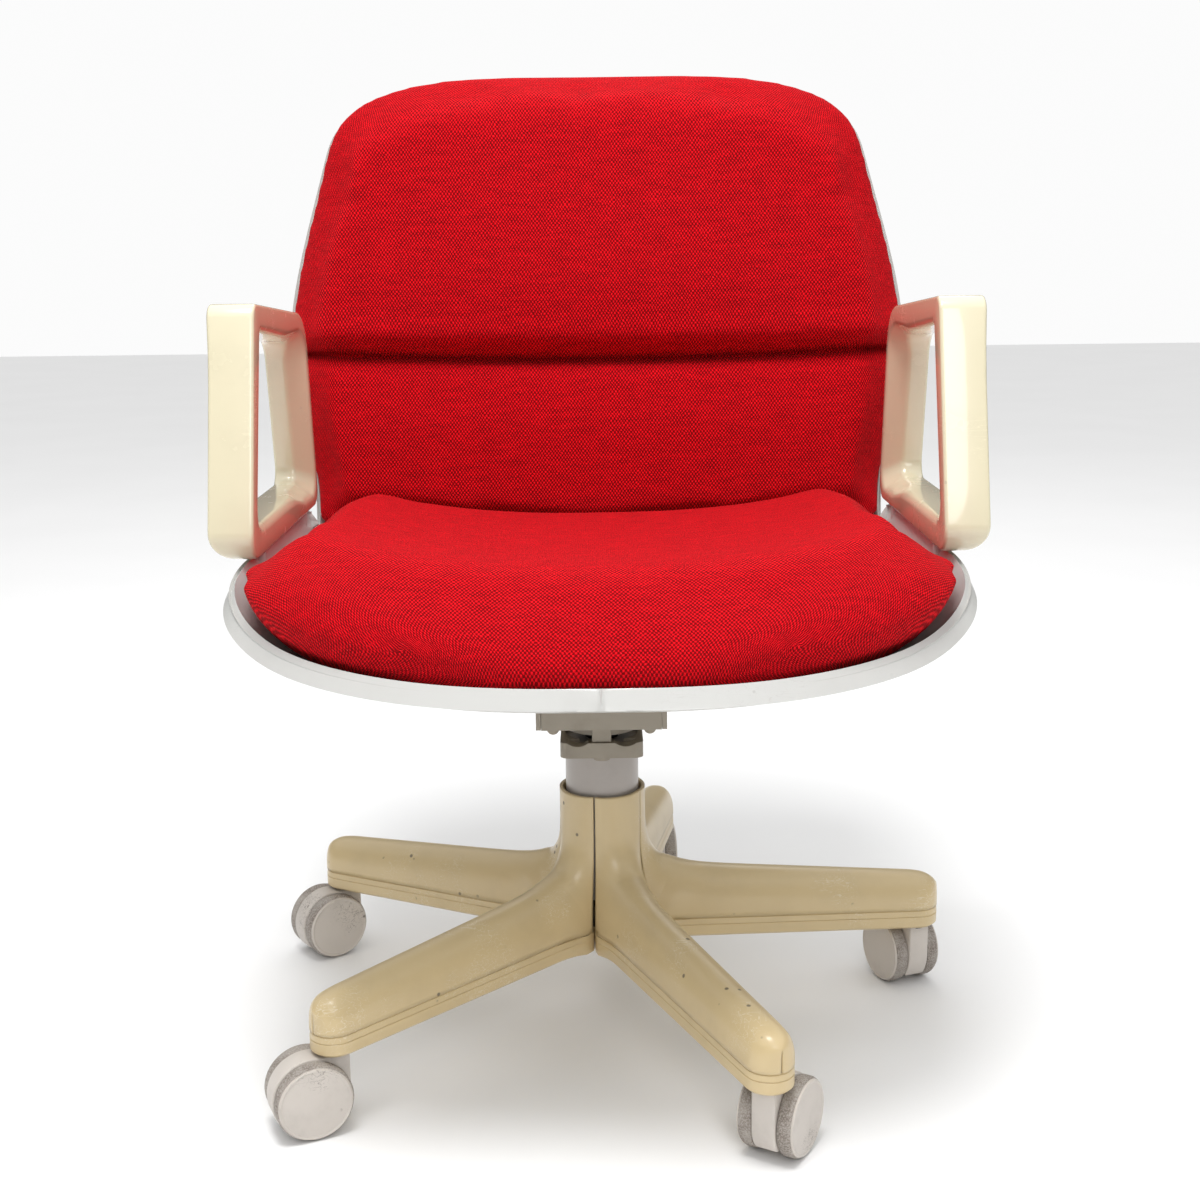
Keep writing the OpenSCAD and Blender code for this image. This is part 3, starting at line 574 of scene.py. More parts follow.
def tread_plastic():
    """Speckled, dusty running surface."""
    found = bpy.data.materials.get("worn_tread")
    if found:
        return found
    material, w, shader = plain_material("worn_tread")
    where = w.node("ShaderNodeTexCoord").outputs["Object"]
    speckle = w.band(w.noise(where, 800.0, 3.0, 0.7), 0.40, 0.62)
    smear = w.band(w.noise(where, 60.0, 3.0), 0.35, 0.7)
    tone = w.blend(speckle, (0.20, 0.165, 0.14, 1), tuple(colours().tread))
    w.join(w.blend(w.times(smear, 0.5), tone, (0.50, 0.46, 0.42, 1)), shader.inputs["Base Color"])
    w.join(w.band(speckle, 0.0, 1.0, 0.75, 0.5), shader.inputs["Roughness"])
    w.relief(shader, speckle, 0.35, 0.0006)
    return material


def upholstery():
    found = bpy.data.materials.get("red_hopsack")
    if found:
        return found
    material, w, shader = plain_material("red_hopsack")
    cloth = w.node("ShaderNodeUVMap", uv_map="cloth").outputs["UV"]
    weave = w.node("ShaderNodeGroup", node_tree=weave_group())
    w.join(cloth, weave.inputs["Vector"])
    w.give(weave, {
        "Nub Width": sizes().nub_width, "Nub Height": sizes().nub_height,
        "Yarn": tuple(colours().cloth), "Gap": tuple(colours().cloth_gap),
    })
    w.join(weave.outputs["Colour"], shader.inputs["Base Color"])
    w.join(weave.outputs["Roughness"], shader.inputs["Roughness"])
    w.relief(shader, weave.outputs["Height"], 0.8, 0.0009)
    w.give(shader, {
        "Specular IOR Level": 0.12, "Sheen Weight": 0.05, "Sheen Roughness": 0.5,
        "Sheen Tint": (1.0, 0.25, 0.25, 1),
    })
    return material


# ---- base


def leg_run(r):
    """How far along the leg a radius is: 1 at the hub, 0 at the castor."""
    s = sizes()
    return clamp01((s.leg_radius - r) / (s.leg_radius - s.hub_radius))


def leg_seam(r):
    return SEAM_HEIGHT + 0.008 * leg_run(r)


def leg_crest(r):
    s = sizes()
    nose = cap((r - s.leg_radius + 0.010) / 0.0312, 2.5)
    flare = 0.027 * math.exp(-max(0.0, r - s.hub_radius) / 0.014)
    k = leg_run(r)
    return SEAM_HEIGHT + 0.008 + (mix(0.031, 0.046, k) - 0.008) * nose + 0.008 * k + flare


def leg_side(r):
    s = sizes()
    if r > s.leg_radius:
        return math.sqrt(max(0.0, NOSE_RADIUS**2 - (r - s.leg_radius) ** 2))
    web = 0.0047 * (1 - smooth((r - 0.036) / 0.030))
    return mix(0.0215, NOSE_RADIUS, 1 - leg_run(r)) + web


def cover_row(s):
    """Centre (r, z), seam end (r, y, z) and how arched the section is, at s along a cover."""
    size = sizes()
    hub = size.hub_radius - 0.0016
    top = HUB_TOP
    if s < 6:
        table = [
            (0, hub, top), (1, hub, top - 0.016), (2, hub + 0.0004, top - 0.032),
            (3, hub + 0.0022, top - 0.045), (4, hub + 0.0065, top - 0.056), (5, hub + 0.0135, top - 0.0645),
            (6, hub + 0.0240, leg_crest(hub + 0.024)),
        ]
        r, z = along(table, s)
        low = mix(top, leg_seam(hub), (s / 6) ** 1.25)
        out = hub + 0.0065 * smooth((0.160 - low) / 0.070)
        half = HALF_STEP - 0.00075 / out
        return r, z, out * math.cos(half), out * math.sin(half), low, smooth((s - 1.5) / 5.0)
    u = (s - 6) / 6
    r = mix(hub + 0.024, size.leg_radius + 0.01899, 1 - (1 - u) ** 1.9)
    foot = mix((hub + 0.0065) * math.cos(HALF_STEP), size.leg_radius + 0.01899, 1 - (1 - u) ** 1.9)
    return r, leg_crest(r), foot, leg_side(foot), leg_seam(foot) + COVER_LAP, 1.0


def make_cover(bm, i):
    turn = leg_frame(i)

    def place(a, b):
        r, z, foot, half, low, arch = cover_row((b + 1) * 6)
        bow = HALF_STEP * a
        round_y = math.sin(bow) / math.sin(HALF_STEP)
        round_drop = (1 - math.cos(bow)) / (1 - math.cos(HALF_STEP))
        lean = math.pi / 2 * abs(a)
        arch_y = math.copysign(math.sin(lean) ** 0.86, a)
        arch_drop = 1 - max(0.0, math.cos(lean)) ** 0.80
        y = mix(round_y, arch_y, arch) * half
        drop = mix(round_drop, arch_drop, arch)
        return turn @ Vector((mix(r, foot, drop), y, mix(z, low + COVER_LAP, drop)))

    mapped_grid(bm, 44, 110, place)


def under_outline():
    """Half of the underside's outline: hub, side, round end."""
    size = sizes()
    points = []
    for k in range(9):
        r = mix(0.022, (size.hub_radius + 0.0047) * math.cos(HALF_STEP), k / 8)
        points.append((r, r * math.tan(HALF_STEP) - 0.0009))
    for k in range(1, 30):
        r = mix(points[8][0], size.leg_radius, k / 29)
        points.append((r, leg_side(r)))
    for k in range(1, 12):
        turn = math.pi / 2 * (1 - k / 12)
        points.append((size.leg_radius + NOSE_RADIUS * math.cos(turn), NOSE_RADIUS * math.sin(turn)))
    points.append((size.leg_radius + NOSE_RADIUS, 0.0))
    return points


def make_underside(bm, i):
    half = under_outline()
    ring = half + [(x, -y) for x, y in reversed(half[:-1])]
    verts = [bm.verts.new((x, y, 0)) for x, y in ring]
    face = bm.faces.new(verts)
    levels = [
        (-0.0012, 0.0007), (-0.0004, 0.0), (0.0, -0.0044), (-0.0007, -0.0050), (0.0, -0.0056), (0.0, -0.0138),
        (-0.0022, -0.0160),
    ]  # inset and drop of each ring, with a groove in the middle
    top = bmesh.ops.extrude_face_region(bm, geom=[face])["geom"]
    bm.faces.remove(face)
    layers = {v: 0 for v in verts}
    current = [g for g in top if isinstance(g, bmesh.types.BMFace)][0]
    layers.update({v: 1 for v in current.verts})
    for level in range(2, len(levels)):
        made = bmesh.ops.extrude_face_region(bm, geom=[current])["geom"]
        old = current
        current = [g for g in made if isinstance(g, bmesh.types.BMFace)][0]
        if old.is_valid:
            bm.faces.remove(old)
        layers.update({v: level for v in current.verts})
    centre_r = sizes().leg_radius
    for v, level in layers.items():
        inset, drop = levels[level]
        r, y = v.co.x, v.co.y
        end = Vector((r - centre_r, y)) if r > centre_r else Vector((0, y))
        if end.length > 1e-6 and r > 0.05:
            step = end.normalized() * inset
            r, y = r + step.x, y + step.y
        v.co = Vector((r, y, leg_seam(v.co.x) + drop))
    cap_top = [v for v, level in layers.items() if level == 0]
    bmesh.ops.contextual_create(bm, geom=cap_top)
    bmesh.ops.inset_region(bm, faces=[current], thickness=0.0045, use_even_offset=True)
    for v in current.verts:
        v.co.z += 0.003
    bmesh.ops.transform(bm, matrix=leg_frame(i), verts=bm.verts)


def make_hood(bm, i):
    away = axle_frame(i)
    size = sizes()
    rim = size.wheel_radius + 0.0006
    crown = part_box(f"castor_hood_{i}")[1][2] - size.wheel_radius
    cut = -0.019
    outline = []
    for k in range(13):
        turn = math.pi + math.asin(-cut / rim) * (1 - k / 12)
        outline.append((rim * math.cos(turn), rim * math.sin(turn)))
    outline += [(-rim, crown * 0.5), (-rim, crown - 0.001), (-rim + 0.001, crown), (-0.0145, crown)]
    start = math.pi / 2 + 0.34
    for k in range(33):
        turn = mix(start, -math.asin(-cut / rim), k / 32)
        outline.append((rim * math.cos(turn), rim * math.sin(turn)))
    verts = [bm.verts.new((x, up, -size.hood_width / 2)) for x, up in outline]
    face = bm.faces.new(verts)
    made = bmesh.ops.extrude_face_region(bm, geom=[face])["geom"]
    far = [g for g in made if isinstance(g, bmesh.types.BMVert)]
    bmesh.ops.translate(bm, vec=(0, 0, size.hood_width), verts=far)
    bmesh.ops.recalc_face_normals(bm, faces=bm.faces)
    rims = [e for e in bm.edges if abs(e.calc_face_angle(0)) > math.radians(60)]
    bevel_edges(bm, rims, 0.0014)
    bmesh.ops.transform(bm, matrix=away, verts=bm.verts)


def make_wheel(bm, i, side):
    size = sizes()
    r, w = size.wheel_radius, size.wheel_width
    profile = [
        (0.0, 0.0), (r - 0.0014, 0.0), (r - 0.0004, 0.0008), (r, 0.0022), (r, 0.0085), (r - 0.0006, 0.0102),
        (r - 0.0013, 0.0110), (r - 0.0019, 0.0112), (r - 0.0020, 0.0123), (r - 0.0026, w), (r - 0.0036, w - 0.0002),
        (r - 0.0043, w - 0.0006), (r - 0.0110, w - 0.0002), (0.0, w),
    ]
    spin_profile(bm, profile, 80)
    bmesh.ops.recalc_face_normals(bm, faces=bm.faces)
    frame_here = axle_frame(i)
    low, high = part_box(f"wheel_{side}_{i}")
    middle = (Vector(low) + Vector(high)) / 2
    over = (middle - frame_here.translation).dot(frame_here.to_3x3().col[2])
    shift = Matrix.Translation((0, 0, size.hood_width / 2 + 0.0005))
    flip = Matrix.Identity(4) if over > 0 else Matrix.Rotation(math.pi, 4, "X")
    bmesh.ops.transform(bm, matrix=frame_here @ flip @ shift, verts=bm.verts)


# ---- bucket shell


def spine(q):
    """Middle line of the bucket's inner face: (y, z, lean) at a distance q from its front edge."""
    s = sizes()
    front, low = PAN_FRONT, PAN_HEIGHT
    len_front, q_pan, lean = bucket()
    if q < len_front:
        a = (q - len_front) / FRONT_RADIUS
        return front + FRONT_RADIUS * math.sin(a), low + FRONT_RADIUS * (1 - math.cos(a)), a
    if q < q_pan:
        return front + q - len_front, low, 0.0
    if q < q_pan + s.bend_radius * lean:
        a = (q - q_pan) / s.bend_radius
        return front + s.pan_depth + s.bend_radius * math.sin(a), low + s.bend_radius * (1 - math.cos(a)), a
    rest = q - q_pan - s.bend_radius * lean
    y = front + s.pan_depth + s.bend_radius * math.sin(lean) + rest * math.cos(lean)
    return y, low + s.bend_radius * (1 - math.cos(lean)) + rest * math.sin(lean), lean


def bucket():
    """Length of the front curve, distance to the bend, and the turn of the bend."""
    s = sizes()
    len_front = FRONT_RADIUS * math.asin((s.seat_front - 0.130) / FRONT_RADIUS)
    return len_front, len_front + s.pan_depth, math.pi / 2 - s.back_lean


def back_start():
    _, q_pan, lean = bucket()
    return q_pan + sizes().bend_radius * lean


def back_end():
    return back_start() + sizes().back_length


def half_width(q):
    s = sizes()
    q_pan, q_back = bucket()[1], back_start()
    rows = [
        (0, s.seat_width / 2), (q_pan, s.seat_width / 2 - 0.002), (q_back, s.seat_width / 2 - 0.004),
        (q_back + 0.120, s.back_width / 2 - 0.004), (q_back + 0.190, s.back_width / 2 - 0.001),
        (q_back + 0.330, s.top_width / 2 + 0.004), (back_end(), s.top_width / 2 - 0.014),
    ]
    return along(rows, q)[0] + 0.010 * hump(q - 0.085, 0.060)


def round_ends(q):
    if q < 0.183:
        return cap(1 - q / 0.183, 3.8)
    if q > back_end() - 0.084:
        return cap(1 - (back_end() - q) / 0.084, 3.4)
    return 1.0


def steepness(q):
    """How far the shell's very edge turns up, at a distance q from the front."""
    return 0.046 - 0.012 * (1 - smooth((q - 0.060) / 0.110))


def curl(p, q):
    """How far the inner face rises over its middle line."""
    _, q_pan, lean = bucket()
    k = smooth((q - q_pan + 0.010) / (sizes().bend_radius * lean + 0.060))
    t = abs(p) / half_width(q)
    return mix(0.060, 0.025, k) * t**3 + mix(steepness(q), 0.012, k) * t**14


def skin_at(p, q, h=0.0):
    y, z, a = spine(q)
    up = curl(p, q) + h
    return Vector((p, y - math.sin(a) * up, z + math.cos(a) * up))


def skin_normal(p, q):
    step = 0.001
    across = skin_at(p + step, q) - skin_at(p - step, q)
    down = skin_at(p, q + step) - skin_at(p, q - step)
    return across.cross(down).normalized()


def bucket_spot(a, b):
    u = mix(0.038, 0.962, (b + 1) / 2)
    q = back_end() * (u - math.sin(2 * math.pi * u) / (2 * math.pi))
    return math.sin(math.pi / 2 * a) * half_width(q) * round_ends(q), q


def make_shell_wall(bm):
    s = sizes()
    across, down = 84, 150

    def inner(a, b):
        return skin_at(*bucket_spot(a, b))

    def outward(spot):
        here = inner(*spot)
        return (here - inner(spot[0] * 0.985, spot[1] * 0.985)).normalized()

    def rim_step(spot, out, down_share, drop=0.0):
        p, q = bucket_spot(*spot)
        lean = spine(q)[2]
        face = (skin_normal(p, q) + Vector((0, -math.sin(lean), math.cos(lean)))).normalized()
        away = outward(spot)
        away = (away - face * away.dot(face)).normalized()
        depth = mix(s.rim_seat, s.rim_back, smooth((q - bucket()[1]) / 0.060))
        return inner(*spot) + away * out - face * (depth * down_share + drop)

    spots = mapped_grid(bm, across, down, inner)
    edges = [e for e in bm.edges if e.is_boundary]
    steps = [
        (0.0011, 0.0, 0.0003), (0.0019, 0.0, 0.0011), (0.0023, 0.0, 0.0026), (0.0022, 0.5, 0.0),
        (0.0016, 0.88, 0.0), (0.0005, 0.99, 0.0), (-0.0012, 1.0, 0.0), (-0.0026, 0.90, 0.0),
        (-0.0034, 0.60, 0.0), (-0.0050, 0.0, s.shell_wall),
    ]  # distance out, share of the rim's depth, and further drop
    for out, share, drop in steps:
        edges, spots = roll_on(bm, edges, spots, lambda spot, o=out, d=share, e=drop: rim_step(spot, o, d, e))

    def behind(a, b):
        a, b = a * 0.992, b * 0.992
        return inner(a, b) - skin_normal(*bucket_spot(a, b)) * s.shell_wall

    add_grid(bm, across, down, behind)


def add_boss(bm, x, y, low, high, radius):
    made = bmesh.ops.create_cone(
        bm, cap_ends=True, segments=40, radius1=radius, radius2=radius * 1.06, depth=high - low
    )["verts"]
    bmesh.ops.translate(bm, vec=(x, y, (low + high) / 2), verts=made)


# ---- cushions


def seat_plan(k, t):
    """A point of the seat cushion's plan: k from -1 at the front to 1 at the back, t from side to side."""
    s = sizes()
    between = min(s.seat_width / 2 - 0.002, s.arm_gap / 2 - 0.001)
    wide = s.seat_width / 2 - 0.002
    y = mix(PAD_MIDDLE, -s.seat_front + 0.005, -k) if k < 0 else mix(PAD_MIDDLE, 0.150, k)
    if k > 0.25:
        half = between * cap((k - 0.25) / 0.75, 9)
    elif k > -0.2:
        half = between
    else:
        bulge = 0.012 * hump(k + 0.62, 0.25)
        half = (mix(between, wide, smooth((-k - 0.2) / 0.35)) + bulge) * cap(-k, 3.7)
    return t * half, y


def bowl(x, y):
    """Height of the bucket's inner face over the floor at a point of the seat plan."""
    t = abs(x) / (sizes().seat_width / 2)
    a = math.asin(clamp01((PAN_FRONT - y) / FRONT_RADIUS))
    len_front = bucket()[0]
    q = len_front - FRONT_RADIUS * a if y < PAN_FRONT else len_front + y - PAN_FRONT
    up = 0.060 * t**3 + steepness(q) * t**14
    r = sizes().bend_radius - up
    d = min(max(0.0, y - 0.100), r - 0.001)
    if y > 0.100:
        return PAN_HEIGHT + sizes().bend_radius - math.sqrt(r * r - d * d)
    return PAN_HEIGHT + FRONT_RADIUS * (1 - math.cos(a)) + up / math.cos(a)


def bed(t):
    """Gap between a cushion and the shell, t of the way to its side."""
    return 0.0016 + 0.0064 * abs(t) ** 6


def foam_top(x, y):
    """Height of the seat cushion's upper face over the floor, away from its edge."""
    rows = [(-0.280, 0.012), (-0.235, 0.015), (-0.150, 0.006), (0.0, 0.0), (0.140, -0.004)]
    return PAN_HEIGHT + 0.094 + 0.027 * min(1.0, abs(x) / 0.212) ** 2.4 + along(rows, y)[0]


def pad_edge(k, t):
    """How full the seat cushion is: 1 inside, 0 at its edge."""
    side = max(0.0, 1 - abs(t) ** mix(8, 18, smooth((k + 0.7) / 0.6))) ** 0.5
    end = max(0.0, 1 - abs(k) ** (24 if k > 0 else 6)) ** 0.45
    return side * end


def pillow(bm, across, down, top, bottom):
    """A closed pad between two surfaces that meet round its edge."""
    mapped_grid(bm, across, down, top)
    add_grid(bm, across, down, bottom)
    bmesh.ops.remove_doubles(bm, verts=bm.verts, dist=2e-5)
    bmesh.ops.recalc_face_normals(bm, faces=bm.faces)


def evaluated(piece):
    return piece.evaluated_get(bpy.context.evaluated_depsgraph_get())


def swell(bm, name, voxel, limit):
    """Remeshes a pad evenly, inflates it as cloth, keeps each move within limit(place) and smooths it."""
    pad = linked(name, as_mesh(bm, name))
    add_modifier(pad, "REMESH", mode="VOXEL", voxel_size=voxel)
    even = bpy.data.meshes.new_from_object(evaluated(pad))
    pad.modifiers.clear()
    pad.data = even
    start = [v.co.copy() for v in even.vertices]
    cloth = pad.modifiers.new("Swell", "CLOTH")
    cloth.settings.quality = 5
    cloth.settings.use_pressure = True
    cloth.settings.uniform_pressure_force = 4
    cloth.settings.effector_weights.gravity = 0
    cloth.collision_settings.use_collision = False
    cloth.point_cache.frame_start = 1
    cloth.point_cache.frame_end = SWELL_FRAMES
    scene = bpy.context.scene
    for number in range(1, SWELL_FRAMES + 1):
        scene.frame_set(number)
    moved = [v.co.copy() for v in evaluated(pad).to_mesh().vertices]
    evaluated(pad).to_mesh_clear()
    pad.modifiers.clear()
    scene.frame_set(1)
    for v, a, b in zip(even.vertices, start, moved):
        step = b - a
        most = limit(a)
        v.co = a + (step if step.length <= most else step.normalized() * most)
    out = bmesh.new()
    out.from_mesh(even)
    bpy.data.objects.remove(pad)
    for _ in range(6):
        bmesh.ops.smooth_vert(out, verts=out.verts, factor=0.5, use_axis_x=True, use_axis_y=True, use_axis_z=True)
    return out


def lay_cloth(bm, unrolled):
    """Gives the cushion its cloth map: every corner where unrolled(its place) says."""
    layer = bm.loops.layers.uv.new("cloth")
    flat = {v: unrolled(v.co) for v in bm.verts}
    for face in bm.faces:
        for loop in face.loops:
            loop[layer].uv = flat[loop.vert]


def seat_share(x, y):
    """Where a plan point lies on the seat pad: (k, t), each 1 at its edge."""
    ahead = y - PAD_MIDDLE
    k = ahead / 0.220 if ahead > 0 else ahead / (sizes().seat_front - 0.075)
    half = abs(seat_plan(max(-0.985, min(0.985, k)), 1)[0])
    return k, x / max(0.05, half)


def make_seat_pad():
    bm = bmesh.new()

    def lower(a, b):
        k, t = math.sin(math.pi / 2 * b) * 0.995, math.sin(math.pi / 2 * a)
        x, y = seat_plan(k, t)
        grow = 1 + 0.030 * smooth((-k - 0.25) / 0.25) + 0.050 * hump(k + 0.80, 0.20)
        return Vector((x, y, bowl(x, y) + bed(t))), k, t, grow

    def top(a, b):
        spot, k, t, grow = lower(a, b)
        rise = pad_edge(k, t)
        wide = mix(1.0, grow, smooth(rise * 1.8) * smooth(abs(t) * 1.4))
        ahead = 0.012 * smooth(rise * 3) * smooth((-k - 0.5) / 0.5)
        crest = foam_top(spot.x, spot.y) + 0.003 * smooth((abs(t) - 0.70) / 0.25)
        return Vector((spot.x * wide, spot.y - ahead, mix(spot.z, crest, rise)))

    pillow(bm, 64, 64, top, lambda a, b: lower(a, b)[0])

    def limit(co):
        lift = clamp01((co.z - bowl(co.x * 0.96, max(co.y, -0.270)) - 0.004) / 0.030)
        return mix(0.0004, 0.010, smooth(lift))

    bm = swell(bm, "seat_pad_form", 0.0052, limit)

    def outward(co):
        k, t = seat_share(co.x, co.y)
        g = Vector((spread(t, 5) / 0.26, spread(k, 5) / 0.21))
        return g.normalized() if g.length > 1e-9 else g

    def unrolled(co):
        drop = max(0.0, foam_top(co.x, co.y) - co.z)
        return Vector((co.x, co.y)) + outward(co) * drop

    lay_cloth(bm, unrolled)
    for v in bm.verts:
        k, t = seat_share(v.co.x, v.co.y)
        rho = (abs(k) ** 6 + abs(t) ** 6) ** (1 / 6)
        high = clamp01((v.co.z - bowl(v.co.x * 0.97, max(v.co.y, -0.275))) / 0.05)
        seam = hump(rho - 0.935, 0.012) * smooth((k + 0.55) / 0.5)
        v.co.z -= 0.0016 * seam * high
    return bm


def make_back_pad():
    bm = bmesh.new()
    q_back = back_start()
    low, high = q_back - 0.026, back_end() + 0.005
    seam = q_back + CREASE

    def ends(q):
        if q < low + 0.030:
            return mix(0.98, 1, cap(1 - (q - low) / 0.030, 2))
        if q > high - 0.088:
            return cap(1 - (high - q) / 0.088, 3.4)
        return 1.0

    def fill(q):
        if q < low + 0.014:
            end = cap(1 - (q - low) / 0.014, 2)
        elif q > high - 0.060:
            end = cap(1 - (high - q) / 0.060, 2)
        else:
            end = 1.0
        return end * (1 - 0.20 * hump(q - seam, 0.010))

    def thick(q):
        rows = [(low, 0.046), (seam - 0.070, 0.047), (seam - 0.012, 0.042), (seam + 0.024, 0.053),
                (seam + 0.100, 0.051), (high, 0.044)]
        return along(rows, q)[0]

    def spot(a, b):
        u = (b + 1) / 2
        q = mix(low + 0.0006, high - 0.0006, mix(u, u - math.sin(2 * math.pi * u) / (2 * math.pi), 0.6))
        t = math.sin(math.pi / 2 * a)
        margin = mix(0.0, -0.001, smooth((q - seam - 0.060) / 0.130))
        return t, q, t * (half_width(min(q, back_end())) - margin) * ends(q)

    def bottom(a, b):
        t, q, p = spot(a, b)
        return skin_at(p, q, bed(t))

    def top(a, b):
        t, q, p = spot(a, b)
        edge = max(0.0, 1 - abs(t) ** 5) ** 0.45
        gentle = 0.004 * (1 - t * t) * smooth((q - seam) / 0.08)
        return skin_at(p, q, bed(t) + 0.004 + (thick(q) + gentle) * fill(q) * edge)

    pillow(bm, 64, 84, top, bottom)
    lean = bucket()[2]
    root = Vector((0, *spine(q_back)[:2]))
    up = Vector((0, math.cos(lean), math.sin(lean)))
    out = Vector((0, -math.sin(lean), math.cos(lean)))

    def share(co):
        q = q_back + (co - root).dot(up)
        h = (co - root).dot(out) - curl(co.x, max(q_back, min(back_end() - 0.001, q)))
        return q, h

    def sag(x):
        return 0.008 * max(0.0, 1 - (x / 0.27) ** 2)

    def limit(co):
        q, h = share(co)
        return mix(0.0004, 0.009, smooth((h - 0.008) / 0.035))

    bm = swell(bm, "back_pad_form", 0.0050, limit)

    def unrolled(co):
        q, h = share(co)
        wide = half_width(max(q_back, min(back_end() - 0.001, q))) - 0.008
        t = co.x / wide
        k = (q - (low + high) / 2) / ((high - low) / 2)
        g = Vector((spread(t, 7), spread(k, 7)))
        g = g.normalized() if g.length > 1e-9 else g
        return Vector((co.x, q)) + g * max(0.0, 0.048 - h)

    lay_cloth(bm, unrolled)
    for v in bm.verts:
        v.co += up * sag(v.co.x)
    for offset in (-0.014, -0.009, -0.006, -0.0036, -0.0018, 0.0, 0.0018, 0.0036, 0.006, 0.009, 0.014):
        bmesh.ops.bisect_plane(
            bm, geom=bm.verts[:] + bm.edges[:] + bm.faces[:], dist=1e-5,
            plane_co=root + up * (CREASE + offset), plane_no=up,
        )
    for v in bm.verts:
        q, h = share(v.co)
        front = smooth((h - 0.008) / 0.02)
        dip = 0.013 * hump(q - seam, 0.0036) + 0.005 * hump(q - seam, 0.012)
        lap = 0.0045 * hump(q - seam - 0.018, 0.012)
        v.co += out * (lap - dip) * front - up * lap * 0.8 * front
    for v in bm.verts:
        v.co -= up * sag(v.co.x)
    return bm


# ---- arms


def round_corner(a, b, c, r, steps=10):
    u, v = (a - b).normalized(), (c - b).normalized()
    half = math.acos(max(-1.0, min(1.0, u.dot(v)))) / 2
    middle = b + (u + v).normalized() * r / math.sin(half)
    first = b + u * r / math.tan(half) - middle
    last = b + v * r / math.tan(half) - middle
    sweep = first.angle_signed(last)
    return [middle + Matrix.Rotation(-sweep * k / steps, 2) @ first for k in range(steps + 1)]


def arm_loop(inset):
    s = sizes()
    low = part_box("arm_left")[0][2]
    corners = [
        (-0.157 + inset * 1.25, low + inset, 0.018),
        (-0.103 + inset, low + s.arm_height - inset, 0.013),
        (0.112 - inset, low + s.arm_height - 0.017 - inset * 1.05, 0.042 - inset * 0.6),
        (0.136 - inset, low + inset, 0.018),
    ]
    if inset:
        corners = [(y, z, max(0.006, r - 0.004)) for y, z, r in corners]
    points = []
    for k, (y, z, r) in enumerate(corners):
        before, after = corners[k - 1], corners[(k + 1) % 4]
        arc = round_corner(Vector(before[:2]), Vector((y, z)), Vector(after[:2]), r)
        if points:
            points += [points[-1].lerp(arc[0], n / 6) for n in range(1, 6)]
        points += arc
    points += [points[-1].lerp(points[0], n / 6) for n in range(1, 6)]
    return points


def make_arm(bm, side):
    s = sizes()
    outer, window = arm_loop(0), arm_loop(s.arm_thickness)
    low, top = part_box("arm_left")[0][2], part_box("arm_left")[1][2]
    rings = []
    for a, b in zip(outer, window):
        rear = smooth((a.x - 0.020) / 0.060)
        high = smooth((a.y - top + 0.050) / 0.045)
        chamfer = mix(0.0040, 0.0165, rear * (1 - 0.45 * high))
        cut = mix(0.0040, 0.0120, rear * (1 - 0.45 * high)) / s.arm_thickness
        flare = 0.0016 * high * (1 - rear)
        section = [
            (0.0, 0.0), (1.0, 0.0), (1.0, 0.2), (1.0, 0.45),
            (1.0, 0.72), (1.0, 1.0), (chamfer, 1.0), (0.0, 1.0 - cut),
        ]
        ring = []
        for u, v in section:
            spot = a.lerp(b, v)
            if u == 1.0:
                up = clamp01((spot.y - low) / 0.021)
                u = s.arm_width + flare - 0.019 * (1 - math.sqrt(1 - (1 - up) ** 2))
            ring.append(bm.verts.new((side * (s.arm_gap / 2 + u), spot.x, spot.y)))
        rings.append(ring)
    for k, ring in enumerate(rings):
        after = rings[(k + 1) % len(rings)]
        loops = []
        for verts in (ring, after):
            for n in range(8):
                pair = (verts[n], verts[(n + 1) % 8])
                loops.append(bm.edges.get(pair) or bm.edges.new(pair))
        bmesh.ops.bridge_loops(bm, edges=loops)
    bmesh.ops.recalc_face_normals(bm, faces=bm.faces)


# ---- operators


def wear_material(node, material):
    piece = frame["nodes"][node]
    for slot in piece.material_slots:
        slot.material = material


